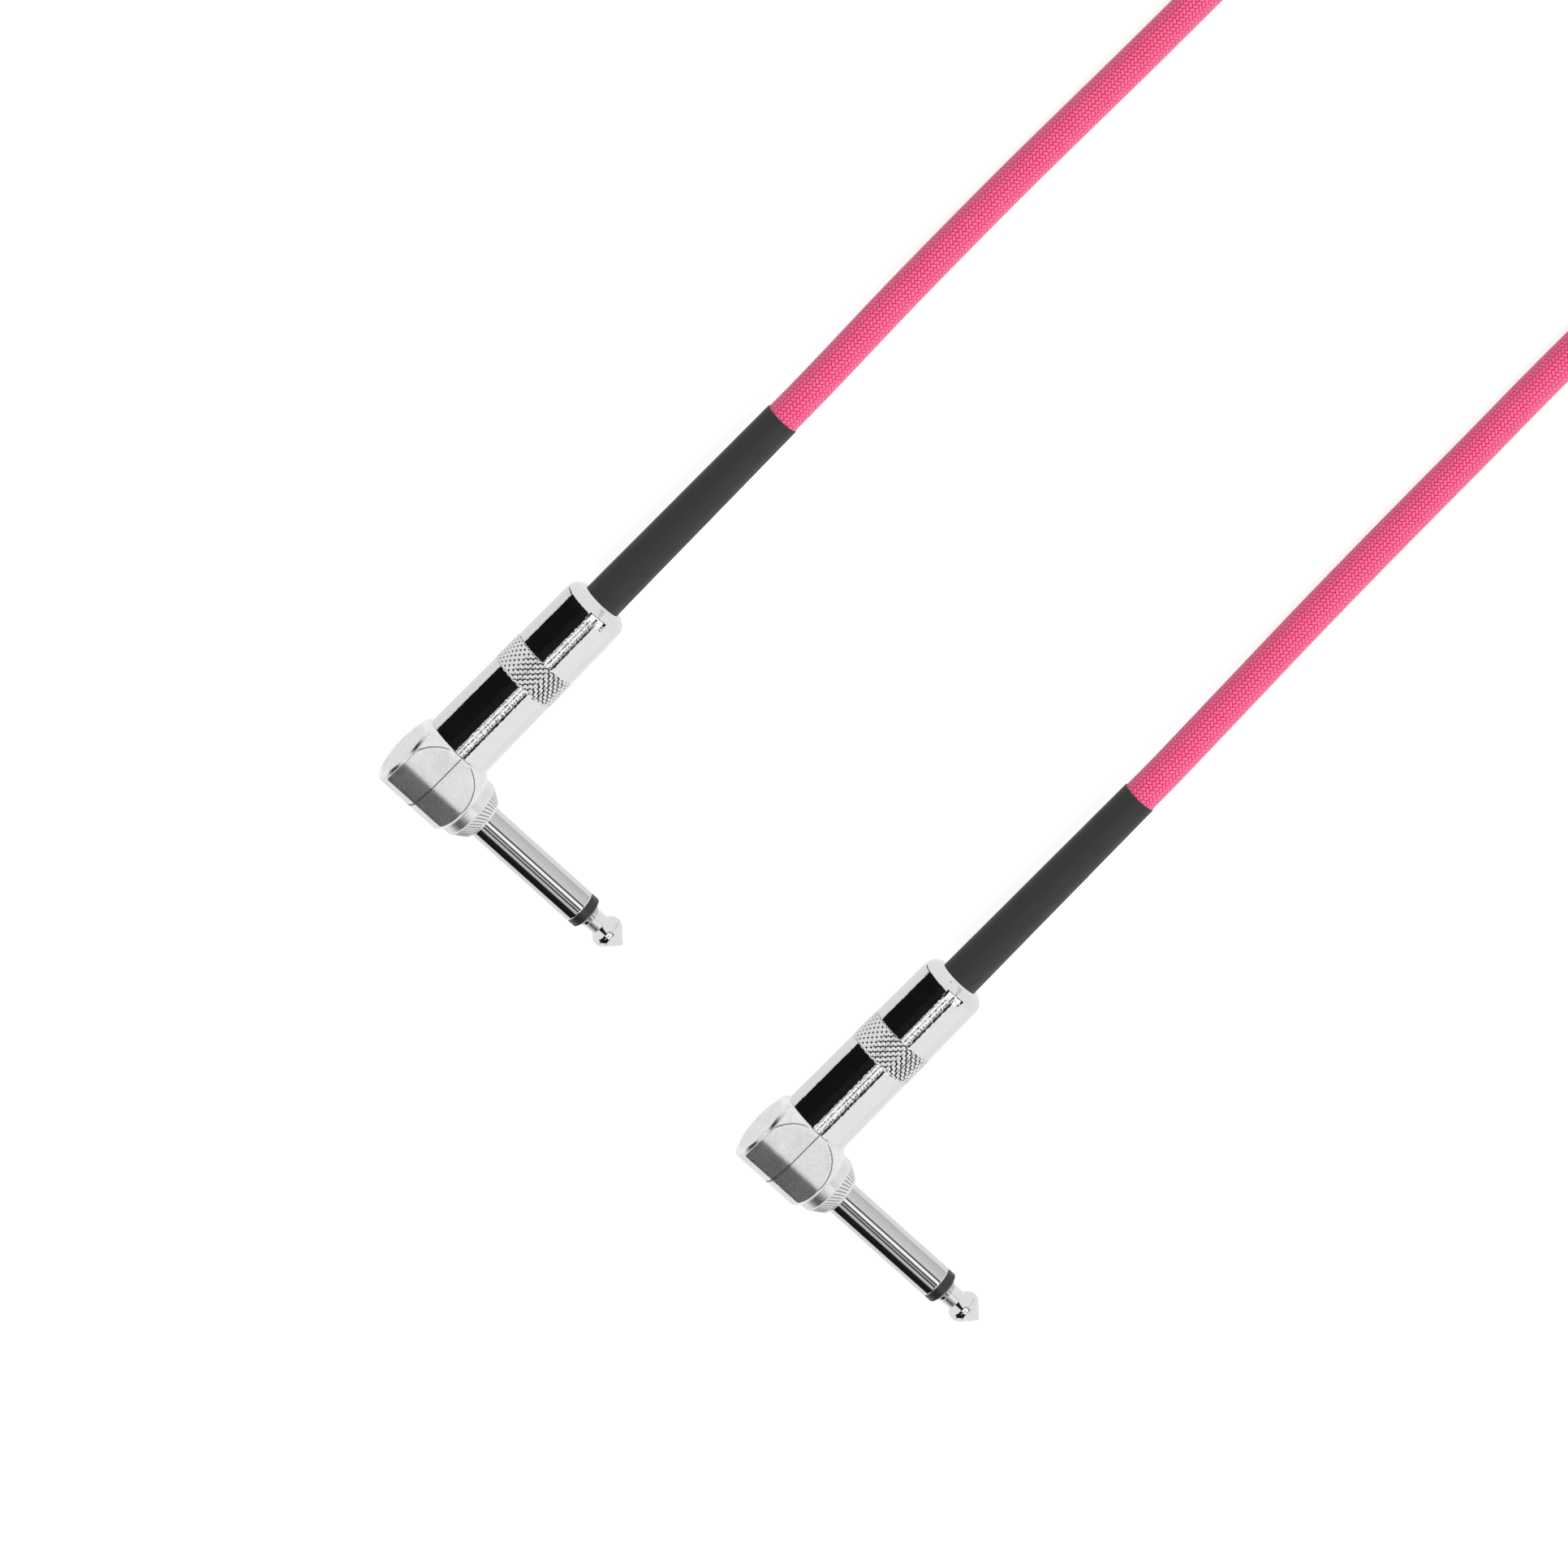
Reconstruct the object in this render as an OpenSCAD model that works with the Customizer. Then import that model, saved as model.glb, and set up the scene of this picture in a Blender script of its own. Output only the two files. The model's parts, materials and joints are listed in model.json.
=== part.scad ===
// Instrument cable: one braided cord with a right-angle 6.35 mm jack plug on each end.
//
// Row frame: +X runs along both barrels towards the cord, the fingers point to -Y, +Z is up.
// The origin lies under the middle of the two plugs, on the surface that the cable lies on.
// Inside a plug, the barrel's axis and the finger's axis cross at the plug's own origin.

/* [Finger] */
// Diameter of the finger that goes into a jack
finger_d = 6.35; // [6.2:0.01:6.4]
// Length of the finger, from the flange to the point
finger_len = 33; // [29:0.5:36]
// Bore of the finger, for the insulating tube
finger_bore_d = 3.8; // [3.4:0.1:4.2]
// Diameter of the rear stub that is pressed into the head
stub_d = 5.8; // [5.4:0.1:6.2]
// Diameter of the riveted neck behind the stub
rivet_d = 4.6; // [4.4:0.1:5]
// Length of the riveted neck, through the ground washer
rivet_len = 0.9; // [0.8:0.1:1.2]

/* [Tip] */
// Length of the tip, from the insulator ring to the point
tip_len = 8; // [7.6:0.1:9]
// Width of the insulator ring
ring_len = 2.2; // [1.6:0.1:2.6]
// Length of the chamfer on the front of the insulator ring
ring_chamfer = 0.5; // [0.2:0.1:0.8]
// Diameter of the insulator ring's front face
ring_front_d = 4.6; // [4.4:0.1:5.4]
// How far the insulator ring lies below the finger's surface
ring_step = 0.05; // [0:0.01:0.1]
// Diameter of the neck behind the ball
neck_d = 3.8; // [3:0.1:4.2]
// Largest diameter of the ball
ball_d = 5.9; // [5.4:0.1:6.2]
// Radius of the ball's rounding
ball_round = 1.9; // [1.7:0.1:2.2]
// Distance from the ring to the widest place of the ball
ball_at = 4.4; // [4.2:0.1:4.8]
// Angle round the ball at which the cone to the point begins
cone_from = 45; // [35:1:50]
// Diameter of the point
point_d = 1; // [0.6:0.1:1.2]
// Diameter of the rod that carries the tip through the finger
rod_d = 2.4; // [2:0.1:2.8]
// Diameter of the rivet head on the rod's rear end
rod_head_d = 3.4; // [3:0.1:4]
// Height of the rivet head on the rod's rear end
rod_head_len = 0.5; // [0.3:0.1:0.8]

/* [Flange] */
// Diameter of the flange on the finger
flange_d = 11.4; // [10:0.1:12]
// Length of the flange's plain rim
flange_rim = 1.9; // [1:0.1:2.5]
// Length of the flange's knurled cone
flange_cone = 2.3; // [1.5:0.1:3.5]
// Diameter of the flange's nose, where the cone ends
nose_d = 8.4; // [7.4:0.1:9]
// Rounding of the nose, down to its end face
nose_round = 0.35; // [0.2:0.05:0.5]
// Small bevel on the flange's rear edge
edge = 0.15; // [0.05:0.05:0.3]

/* [Head] */
// Thickness of the head, between its two broad flats
head_t = 12.9; // [12.4:0.1:12.9]
// Diameter of the ball that rounds the head's corners
head_ball_d = 18.9; // [18.6:0.1:20]
// Distance from the finger's axis to the back of the head
head_back = 6.6; // [6:0.1:7]
// Radius of the head's back, seen along the finger
back_round = 8.4; // [7.5:0.1:10]
// Where the broad flat ends, behind the finger's axis
flat_end = 0.6; // [0:0.1:2]
// How far the slanted facet drops from the broad flat
facet_drop = 1.2; // [0.6:0.1:2]
// Where the slanted facet ends, behind the finger's axis
facet_end = 4.4; // [3.5:0.1:5]
// Distance from the barrel's axis to the cap's end face
cap_face = 6.8; // [6.6:0.1:7.4]
// Diameter of the flat disc on the cap's end face
cap_disc_d = 10.3; // [8:0.1:11]
// Depth of the bevel round the flat disc
cap_bevel = 0.45; // [0.2:0.05:0.8]
// Distance from the barrel's axis to the base's end face
base_face = 7.35; // [6.85:0.1:7.65]
// Distance from the barrel's axis to the line where cap and base part
parting = 0.15; // [0:0.05:0.6]
// Width of the groove along the parting line
groove_w = 0.2; // [0.1:0.05:0.4]
// Depth of the groove along the parting line
groove_depth = 0.2; // [0.1:0.05:0.4]
// Diameter of the chamber in the head
chamber_d = 9.2; // [8.6:0.1:9.8]
// Thickness of the cap's end wall
cap_wall = 1.2; // [0.8:0.1:1.6]
// Thickness of the base's end wall
base_wall = 3; // [2.6:0.1:3.2]

/* [Thread] */
// Distance from the finger's axis to the barrel's seat on the head
seat_at = 6.5; // [6.2:0.1:6.5]
// Diameter of the threaded spigot on the head
thread_d = 10.4; // [10:0.1:10.8]
// Length of the threaded spigot
thread_len = 6; // [4.5:0.5:8]
// Bore of the threaded spigot
spigot_bore_d = 8; // [7.9:0.1:8.4]

/* [Barrel] */
// Length of the barrel
barrel_len = 35.4; // [33:0.1:40]
// Diameter of the barrel at its mouth
barrel_d = 12.8; // [12.4:0.1:12.8]
// Diameter of the barrel at its cord end
barrel_end_d = 12.1; // [11.6:0.1:12.8]
// Radius of the shoulder at the barrel's cord end
barrel_round = 2.2; // [1:0.1:2.4]
// Chamfer on the barrel's mouth
mouth_chamfer = 0.35; // [0.1:0.05:0.5]
// Distance from the barrel's mouth to the knurled band
knurl_at = 15.9; // [12:0.1:20]
// Width of the knurled band
knurl_w = 5.8; // [2:0.1:7]
// Height of the knurled band above the barrel
knurl_h = 0.12; // [0.05:0.01:0.2]
// Bore of the barrel behind its thread
barrel_bore_d = 10; // [9.9:0.1:10.2]
// Thickness of the barrel's end wall
barrel_wall = 2.5; // [2:0.1:3.5]

/* [Liner] */
// Wall of the insulating tube inside the barrel
liner_wall = 0.4; // [0.3:0.05:0.5]

/* [Boot] */
// Diameter of the shrunk boot where it leaves the barrel
boot_d = 7.1; // [6.8:0.1:7.4]
// Diameter of the shrunk boot at its cord end
boot_end_d = 6.5; // [6.4:0.05:6.8]
// Length of the boot that shows outside the barrel
boot_len = 44.2; // [30:0.1:46]
// Length of the boot that is hidden in the barrel
boot_hidden = 8; // [6:0.5:9]

/* [Cord] */
// Diameter over the braid
cord_d = 6.15; // [6:0.05:6.2]
// Diameter of the copper screen
screen_d = 4.2; // [3.8:0.1:4.4]
// Diameter of the insulation on the core
dielectric_d = 3; // [2.6:0.1:3.2]
// Diameter of the copper core
core_d = 0.9; // [0.6:0.1:1.2]
// Length of jacket in front of the cord clamp
jacket_stub = 1.5; // [0.5:0.5:3]
// Length of bare screen in front of the jacket
screen_stub = 4; // [2:0.5:5]
// How far the core's insulation reaches into the spigot
core_reach = 2.5; // [1:0.5:3]
// Length of straight bare core in front of its insulation
bare_core = 1; // [0.5:0.5:1.5]
// Length of core that lies on the tip's lug
solder_len = 1.2; // [0.8:0.1:2]

/* [Terminals] */
// Thickness of the brass that the lugs are stamped from
lug_t = 0.6; // [0.5:0.05:0.7]
// Diameter of the ground washer round the rivet
ground_washer_d = 8.4; // [7:0.1:8.6]
// Width of the strip from the ground washer to the cord clamp
strip_w = 2.4; // [1.8:0.1:2.4]
// Length of the cord clamp
clamp_len = 7; // [5:0.5:8]
// Opening of the cord clamp, as an angle
clamp_open = 60; // [40:5:100]
// Thickness of the insulating washer under the tip's lug
washer_t = 0.8; // [0.5:0.1:1]
// Diameter of the insulating washer under the tip's lug
washer_d = 6; // [5.6:0.1:7]
// Diameter of the tip's lug
tip_lug_d = 5; // [4.4:0.1:5.4]
// Reach of the tip's lug towards the barrel
tip_lug_reach = 5.6; // [4.5:0.1:6.4]
// Width of the tip's lug where the core is soldered
tip_lug_w = 2; // [1.6:0.1:2.6]

/* [Layout] */
// Distance between the two plugs, along their fingers
plug_spacing = 91.4; // [85:0.1:110]
// How far the second plug lies behind the first
plug_stagger = 7.2; // [0:0.1:10]

/* [Coil] */
// Radius of the coil's outermost turn
coil_r = 44.75; // [44.75:0.05:60]
// Step between turns that lie side by side
turn_step = 6.75; // [6.7:0.05:7.5]
// Step between layers
layer_step = 6.7; // [6.65:0.05:7.5]
// Turns of cord that are put away, ending on the other side from where they start
coil_turns = 11.5; // [7.5:1:11.5]
// Number of layers
layers = 4; // [4:2:6]

/* [Tie] */
// Width of the tie
tie_w = 14; // [8:1:20]
// Thickness of the tie
tie_t = 1; // [0.8:0.1:1.5]
// Space between the tie and the turns that it holds
tie_gap = 0.3; // [0.2:0.05:0.5]
// Radius of the tie's inner corners
tie_round = 2; // [1:0.1:3]
// Length of the tie's loose end, folded back over the top
tie_tail = 17; // [10:0.5:18]

/* [Clearances] */
// Gap between flat faces that seat on each other
seat_gap = 0.03; // [0.01:0.01:0.08]
// Radial gap of the screw thread and of what slides in the barrel
run_gap = 0.06; // [0.03:0.01:0.1]
// Radial gap between nested pieces that are pressed together
press_gap = 0.02; // [0.01:0.01:0.04]
// Gap at each end of the liner
liner_gap = 0.3; // [0.1:0.1:0.5]
// Gap between the cord clamp and the boot
boot_gap = 0.5; // [0.3:0.1:1]
// Length of the barrel's thread past the end of the spigot
thread_spare = 1; // [0.6:0.1:2]

/* [Hidden] */
$fn = 64;

// An overlap that joins the solids of one piece, and a very small one that doesn't show
join = 0.2;
lap = 0.001;

// Along the finger, as distances from the barrel's axis
flange_at = base_face + seat_gap;
cone_at = flange_at + flange_rim;
nose_at = cone_at + flange_cone;
finger_at = nose_at + nose_round;
point_at = finger_at + finger_len;
ring_front = point_at - tip_len;
ring_back = ring_front - ring_len;
floor_at = base_face - base_wall;
rivet_at = floor_at - rivet_len;
ground_at = floor_at - seat_gap - lug_t;
washer_at = rivet_at - seat_gap - washer_t;
tip_lug_at = washer_at - seat_gap - lug_t;
rod_head_at = tip_lug_at - rod_head_len - seat_gap;

// Along the barrel, as distances from the finger's axis
mouth_at = seat_at + seat_gap;
barrel_end = mouth_at + barrel_len;
bore_end = barrel_end - barrel_wall;
spigot_end = seat_at + thread_len;
thread_end = spigot_end + thread_spare;
liner_at = spigot_end + liner_gap;
liner_end = bore_end - liner_gap;
boot_at = barrel_end - boot_hidden;
boot_end = barrel_end + boot_len;
clamp_at = boot_at - boot_gap - clamp_len;
jacket_at = clamp_at - jacket_stub;
screen_at = jacket_at - screen_stub;
dielectric_at = spigot_end - core_reach;
core_at = tip_lug_reach - solder_len;

// Radii of what turns and slides in the barrel
liner_r = barrel_bore_d / 2 - run_gap;
end_hole_r = boot_d / 2 + run_gap;
thread_bore_r = thread_d / 2 + run_gap;
clamp_r = cord_d / 2 + press_gap;
strip_at = clamp_r;

// Height of the plugs' axes, and the plugs' own origins
axis_z = max(head_t, barrel_d) / 2;
middle_x = (boot_end - plug_stagger - head_back) / 2;
middle_y = (cap_face - plug_spacing - point_at) / 2;
plug_a_at = [-middle_x, -middle_y, axis_z];
plug_b_at = [-middle_x - plug_stagger, -middle_y - plug_spacing, axis_z];

// The cord's points after each boot, up to the coil: x, y and height over the floor
cord_r = cord_d / 2;
coil_at = [277, 18.5];
exit_a = plug_a_at + [boot_end, 0, 0];
exit_b = plug_b_at + [boot_end, 0, 0];
lead = cord_d;
route_a = [
    [64, 64.8, 6.1], [78, 64.8, 5], [92, 64.6, 3.9], [106, 64.4, 3.3], [120, 64.1, 3.1],
    [134, 63.8, 3.1], [148, 63.6, 3.1], [162, 63.5, 3.1], [176, 63.4, 3.1], [190, 63.4, 3.1],
    [204, 63.3, 3.2], [218, 63.3, 3.3], [232, 63.3, 3.5], [246, 63.3, 3.6], [256, 63.3, 3.7]
];
route_b = [
    [56, -26.6, 6.1], [70, -26.6, 5], [84, -26.6, 3.9], [98, -26.6, 3.3], [112, -26.6, 3.1],
    [126, -26.6, 3.1], [140, -26.5, 3.1], [154, -26.5, 3.5], [168, -26.4, 5.2], [182, -26.4, 8.4],
    [196, -26.3, 12.6], [210, -26.3, 16.8], [224, -26.3, 20.2], [238, -26.3, 22.6],
    [252, -26.3, 23.7]
];

// ---------------------------------------------------------------- the coil's line

layer_turns = coil_turns / layers;
climb_turns = 0.5;
coil_inner_r = coil_r - layer_turns * turn_step;
rings_per_turn = 24;
coil_steps = round(coil_turns * rings_per_turn);

// Smooth rise from 0 to 1
function rise(x) = let (c = min(max(x, 0), 1)) c * c * (3 - 2 * c);

// Radius at t turns from the start: in on every first layer, out on every second one
function turn_r(t) =
    let (k = min(floor(t / layer_turns), layers - 1), s = t - k * layer_turns)
    k % 2 == 0 ? coil_r - turn_step * s : coil_inner_r + turn_step * s;

// Height at t turns: it climbs a layer in the half turn round each reversal
function turn_z(t) =
    let (climbs = [for (j = [1 : layers - 1]) rise((t - j * layer_turns) / climb_turns + 0.5)])
    cord_r + layer_step * (climbs * [for (j = [1 : layers - 1]) 1]);

// The coil leans on the tie's lower band at +X, and lies on the floor at -X
function lean(angle) = (tie_t + tie_gap) * (1 + cos(angle)) / 2;

function coil_point(t) =
    let (angle = 90 - 360 * t)
    [
        coil_at[0] + turn_r(t) * cos(angle), coil_at[1] + turn_r(t) * sin(angle),
        turn_z(t) + lean(angle)
    ];

coil_start = coil_point(0);
coil_stop = coil_point(coil_turns);
coil_line = concat(
    [coil_start - [lead, 0, 0]],
    [for (i = [0 : coil_steps]) coil_point(i * coil_turns / coil_steps)],
    [coil_stop - [lead, 0, 0]]
);
line_a = concat([exit_a, exit_a + [lead, 0, 0]], route_a,
                [coil_start - [2 * lead, 0, 0], coil_start - [lead, 0, 0]]);
line_b = concat([exit_b, exit_b + [lead, 0, 0]], route_b,
                [coil_stop - [2 * lead, 0, 0], coil_stop - [lead, 0, 0]]);

function line_length(line, i = 1) =
    i < len(line) ? norm(line[i] - line[i - 1]) + line_length(line, i + 1) : 0;

// Least distance between points of the coil more than half a turn apart, less the cord
function least(values, i = 0, best = 1e9) =
    i < len(values) ? least(values, i + 1, min(best, values[i])) : best;
coil_gap = least([
    for (i = [0 : len(coil_line) - 1])
        least([
            for (j = [i + rings_per_turn / 2 : 1 : len(coil_line) - 1]) norm(coil_line[i] - coil_line[j])
        ])
]) - cord_d;
echo(cord_length_mm = line_length(line_a) + line_length(coil_line) + line_length(line_b));
echo(coil_gap_mm = coil_gap);

// ---------------------------------------------------------------- helpers

// Puts a plug's piece in place, "a" or "b"
module at_plug(end) {
    translate(end == "a" ? plug_a_at : plug_b_at) children();
}

// Turns +Z to the finger's direction, -Y
module along_finger() {
    rotate([90, 0, 0]) children();
}

// Turns +Z to the barrel's direction, +X
module along_barrel() {
    rotate([0, 90, 0]) children();
}

// A rectangle with round corners
module round_box(w, h, r) {
    translate([r, 0]) square([w - 2 * r, h]);
    translate([0, r]) square([w, h - 2 * r]);
    for (x = [r, w - r], y = [r, h - r]) translate([x, y]) circle(r = r);
}

// A tube wall or a rod from one place on the axis to another
module ring_solid(r_out, r_in, from, to) {
    translate([0, 0, from])
        difference() {
            cylinder(r = r_out, h = to - from);
            translate([0, 0, -join]) cylinder(r = r_in, h = to - from + 2 * join);
        }
}

// A tube with a given number of sides along a line of points, with its ends square to X
module swept_tube(line, r, sides) {
    count = len(line);
    points = [
        for (i = [0 : count - 1])
            let (
                ahead = i == 0 || i == count - 1 ? [1, 0, 0] : line[i + 1] - line[i - 1],
                sign = i == count - 1 && line[count - 1][0] < line[count - 2][0] ? -1 : 1,
                tangent = sign * ahead / norm(ahead),
                side = cross([0, 0, 1], tangent),
                across = side / norm(side),
                up = cross(tangent, across)
            )
            for (k = [0 : sides - 1])
                let (angle = 360 * k / sides - 90)
                line[i] + r * (cos(angle) * across + sin(angle) * up)
    ];
    walls = [
        for (i = [0 : count - 2])
            for (k = [0 : sides - 1])
                let (a = i * sides + k, b = i * sides + (k + 1) % sides)
                each [[a, a + sides, b], [b, a + sides, b + sides]]
    ];
    first = [for (k = [1 : sides - 2]) [0, k, k + 1]];
    last = [for (k = [1 : sides - 2]) [0, k + 1, k] + (count - 1) * [sides, sides, sides]];
    polyhedron(points = points, faces = concat(first, walls, last), convexity = 10);
}

// ---------------------------------------------------------------- the finger's pieces

// Ball tip on its rod, riveted over the lug in the head
module tip(end) {
    ball_r = ball_d / 2;
    ball_z = ring_front + ball_at;
    point_z = point_at - point_d / 2;
    color("gainsboro") at_plug(end) along_finger() {
        rotate_extrude()
            intersection() {
                union() {
                    translate([0, ring_front]) square([neck_d / 2, ball_at]);
                    translate([ball_r - ball_round, ball_z]) circle(r = ball_round);
                    translate([0, ball_z - ball_round / 2])
                        square([ball_r - ball_round, ball_round]);
                    polygon([
                        [0, ball_z],
                        [ball_r - ball_round * (1 - cos(cone_from)), ball_z + ball_round * sin(cone_from)],
                        [point_d / 2 * cos(cone_from), point_z + point_d / 2 * sin(cone_from)],
                        [0, point_z]
                    ]);
                    translate([0, point_z]) circle(d = point_d);
                }
                translate([0, ring_front]) square([ball_d, tip_len]);
            }
        translate([0, 0, tip_lug_at - join])
            cylinder(d = rod_d, h = ring_front - tip_lug_at + 2 * join);
        translate([0, 0, rod_head_at]) cylinder(d = rod_head_d, h = rod_head_len);
    }
}

// Black ring in front of the finger, with the tube that insulates the rod
module tip_insulator(end) {
    bore_r = rod_d / 2 + press_gap;
    tube_r = finger_bore_d / 2 - press_gap;
    ring_r = finger_d / 2 - ring_step;
    from = washer_at + washer_t + seat_gap;
    color("dimgray") at_plug(end) along_finger()
        rotate_extrude()
            polygon([
                [bore_r, from], [tube_r, from],
                [tube_r, ring_back + seat_gap], [ring_r, ring_back + seat_gap],
                [ring_r, ring_front - ring_chamfer],
                [ring_front_d / 2, ring_front - seat_gap], [bore_r, ring_front - seat_gap]
            ]);
}

// Sleeve contact: finger, coned flange, and the stub that is riveted into the head
module finger(end) {
    color("silver") at_plug(end) along_finger()
        difference() {
            union() {
                rotate_extrude() {
                    polygon([
                        [0, flange_at], [flange_d / 2 - edge, flange_at],
                        [flange_d / 2, flange_at + edge], [flange_d / 2, cone_at],
                        [nose_d / 2, nose_at], [0, nose_at]
                    ]);
                    translate([nose_d / 2 - nose_round, nose_at]) circle(r = nose_round);
                    translate([0, nose_at - nose_round])
                        square([nose_d / 2 - nose_round, 2 * nose_round]);
                }
                translate([0, 0, flange_at]) cylinder(d = finger_d, h = ring_back - flange_at);
                translate([0, 0, floor_at]) cylinder(d = stub_d, h = flange_at - floor_at + join);
                translate([0, 0, rivet_at]) cylinder(d = rivet_d, h = rivet_len + join);
            }
            translate([0, 0, rivet_at - join])
                cylinder(d = finger_bore_d, h = ring_back - rivet_at + 2 * join);
        }
}

// ---------------------------------------------------------------- the head

// The head's outside, or the same form a little smaller
module head_form(inset) {
    half = head_t / 2 - inset;
    facet = half - facet_drop;
    intersection() {
        sphere(d = head_ball_d - 2 * inset, $fn = 96);
        rotate([90, 0, 0])
            linear_extrude(height = 2 * head_ball_d, center = true)
                polygon([
                    [seat_at, half], [-flat_end, half], [-facet_end, facet], [-head_ball_d, facet],
                    [-head_ball_d, -facet], [-facet_end, -facet], [-flat_end, -half], [seat_at, -half]
                ]);
        translate([back_round - head_back, 0, 0])
            rotate([90, 0, 0])
                cylinder(r = back_round - inset, h = 2 * head_ball_d, center = true, $fn = 128);
    }
}

// The head with its spigot, before it is parted
module head_blank() {
    head_form(0);
    along_barrel() translate([0, 0, seat_at - join]) cylinder(d = thread_d, h = thread_len + join);
}

// The chamber and the way out through the spigot
module head_hollow() {
    along_finger()
        translate([0, 0, -cap_face + cap_wall])
            cylinder(d = chamber_d, h = floor_at + cap_face - cap_wall);
    along_barrel() cylinder(d = spigot_bore_d, h = spigot_end + join);
}

// Everything on one side of the parting plane: from and to are distances along the finger
module slab(from, to) {
    reach = 2 * spigot_end;
    along_finger() translate([-reach, -reach, from]) cube([2 * reach, 2 * reach, to - from]);
}

// Base half: carries the finger, with the ground washer on its floor
module head_base(end) {
    color("lightgray") at_plug(end)
        difference() {
            union() {
                intersection() {
                    head_blank();
                    slab(parting + groove_w / 2, base_face);
                }
                intersection() {
                    union() {
                        head_form(groove_depth);
                        along_barrel() cylinder(d = thread_d - 2 * groove_depth, h = spigot_end);
                    }
                    slab(parting + seat_gap / 2, parting + groove_w);
                }
            }
            head_hollow();
            along_finger() cylinder(d = stub_d + 2 * press_gap, h = base_face + join);
        }
}

// Cap half: closes the chamber, held by the barrel's thread round both halves
module head_cap(end) {
    rim_r = sqrt(pow(head_ball_d / 2, 2) - pow(cap_face - cap_bevel, 2));
    color("lightgray") at_plug(end)
        difference() {
            union() {
                intersection() {
                    head_blank();
                    slab(-cap_face + cap_bevel, parting - groove_w / 2);
                }
                intersection() {
                    head_form(0);
                    along_finger()
                        translate([0, 0, -cap_face])
                            cylinder(d1 = cap_disc_d, r2 = rim_r, h = cap_bevel + lap);
                }
                intersection() {
                    union() {
                        head_form(groove_depth);
                        along_barrel() cylinder(d = thread_d - 2 * groove_depth, h = spigot_end);
                    }
                    slab(parting - groove_w, parting - seat_gap / 2);
                }
            }
            head_hollow();
        }
}

// ---------------------------------------------------------------- the barrel

// Diameter of the barrel's taper at a distance from its mouth
function barrel_d_at(x) = barrel_d + (barrel_end_d - barrel_d) * x / barrel_len;

// Screwed barrel with its knurled band and rounded end
module barrel(end) {
    end_r = barrel_end_d / 2;
    color("silver") at_plug(end) along_barrel()
        difference() {
            rotate_extrude($fn = 96)
                translate([0, mouth_at]) {
                    polygon([
                        [0, 0], [barrel_d / 2 - mouth_chamfer, 0], [barrel_d / 2, mouth_chamfer],
                        [end_r, barrel_len - barrel_round], [0, barrel_len - barrel_round]
                    ]);
                    square([end_r - barrel_round, barrel_len]);
                    intersection() {
                        translate([end_r - barrel_round, barrel_len - barrel_round])
                            circle(r = barrel_round);
                        translate([0, barrel_len - barrel_round])
                            square([end_r, barrel_round]);
                    }
                    polygon([
                        [0, knurl_at], [barrel_d_at(knurl_at) / 2, knurl_at],
                        [barrel_d_at(knurl_at) / 2 + knurl_h, knurl_at + knurl_h],
                        [barrel_d_at(knurl_at + knurl_w) / 2 + knurl_h, knurl_at + knurl_w - knurl_h],
                        [barrel_d_at(knurl_at + knurl_w) / 2, knurl_at + knurl_w],
                        [0, knurl_at + knurl_w]
                    ]);
                }
            translate([0, 0, mouth_at - join])
                cylinder(r = thread_bore_r, h = thread_end - mouth_at + join);
            translate([0, 0, mouth_at]) cylinder(d = barrel_bore_d, h = bore_end - mouth_at);
            translate([0, 0, bore_end - join]) cylinder(r = end_hole_r, h = barrel_wall + 2 * join);
        }
}

// Insulating tube inside the barrel
module liner(end) {
    color("whitesmoke") at_plug(end) along_barrel()
        ring_solid(liner_r, liner_r - liner_wall, liner_at, liner_end);
}

// Shrunk boot over the cord
module boot(end) {
    color([0.16, 0.16, 0.16]) at_plug(end) along_barrel()
        difference() {
            union() {
                translate([0, 0, boot_at]) cylinder(d = boot_d, h = barrel_end - boot_at);
                translate([0, 0, barrel_end])
                    cylinder(d1 = boot_d, d2 = boot_end_d, h = boot_len);
            }
            translate([0, 0, boot_at - join])
                cylinder(d = cord_d + 2 * press_gap, h = boot_end - boot_at + 2 * join);
        }
}

// ---------------------------------------------------------------- terminals

// Washer under the tip's lug
module tip_washer(end) {
    color("tan") at_plug(end) along_finger()
        ring_solid(washer_d / 2, rod_d / 2 + press_gap, washer_at, washer_at + washer_t);
}

// Solder lug on the tip's rod
module tip_lug(end) {
    color("goldenrod") at_plug(end) along_finger()
        difference() {
            translate([0, 0, tip_lug_at]) {
                cylinder(d = tip_lug_d, h = lug_t);
                translate([0, -tip_lug_w / 2, 0])
                    cube([tip_lug_reach - tip_lug_w / 2, tip_lug_w, lug_t]);
                translate([tip_lug_reach - tip_lug_w / 2, 0, 0])
                    cylinder(d = tip_lug_w, h = lug_t);
            }
            translate([0, 0, tip_lug_at - join])
                cylinder(d = rod_d + 2 * press_gap, h = lug_t + 2 * join);
        }
}

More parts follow.
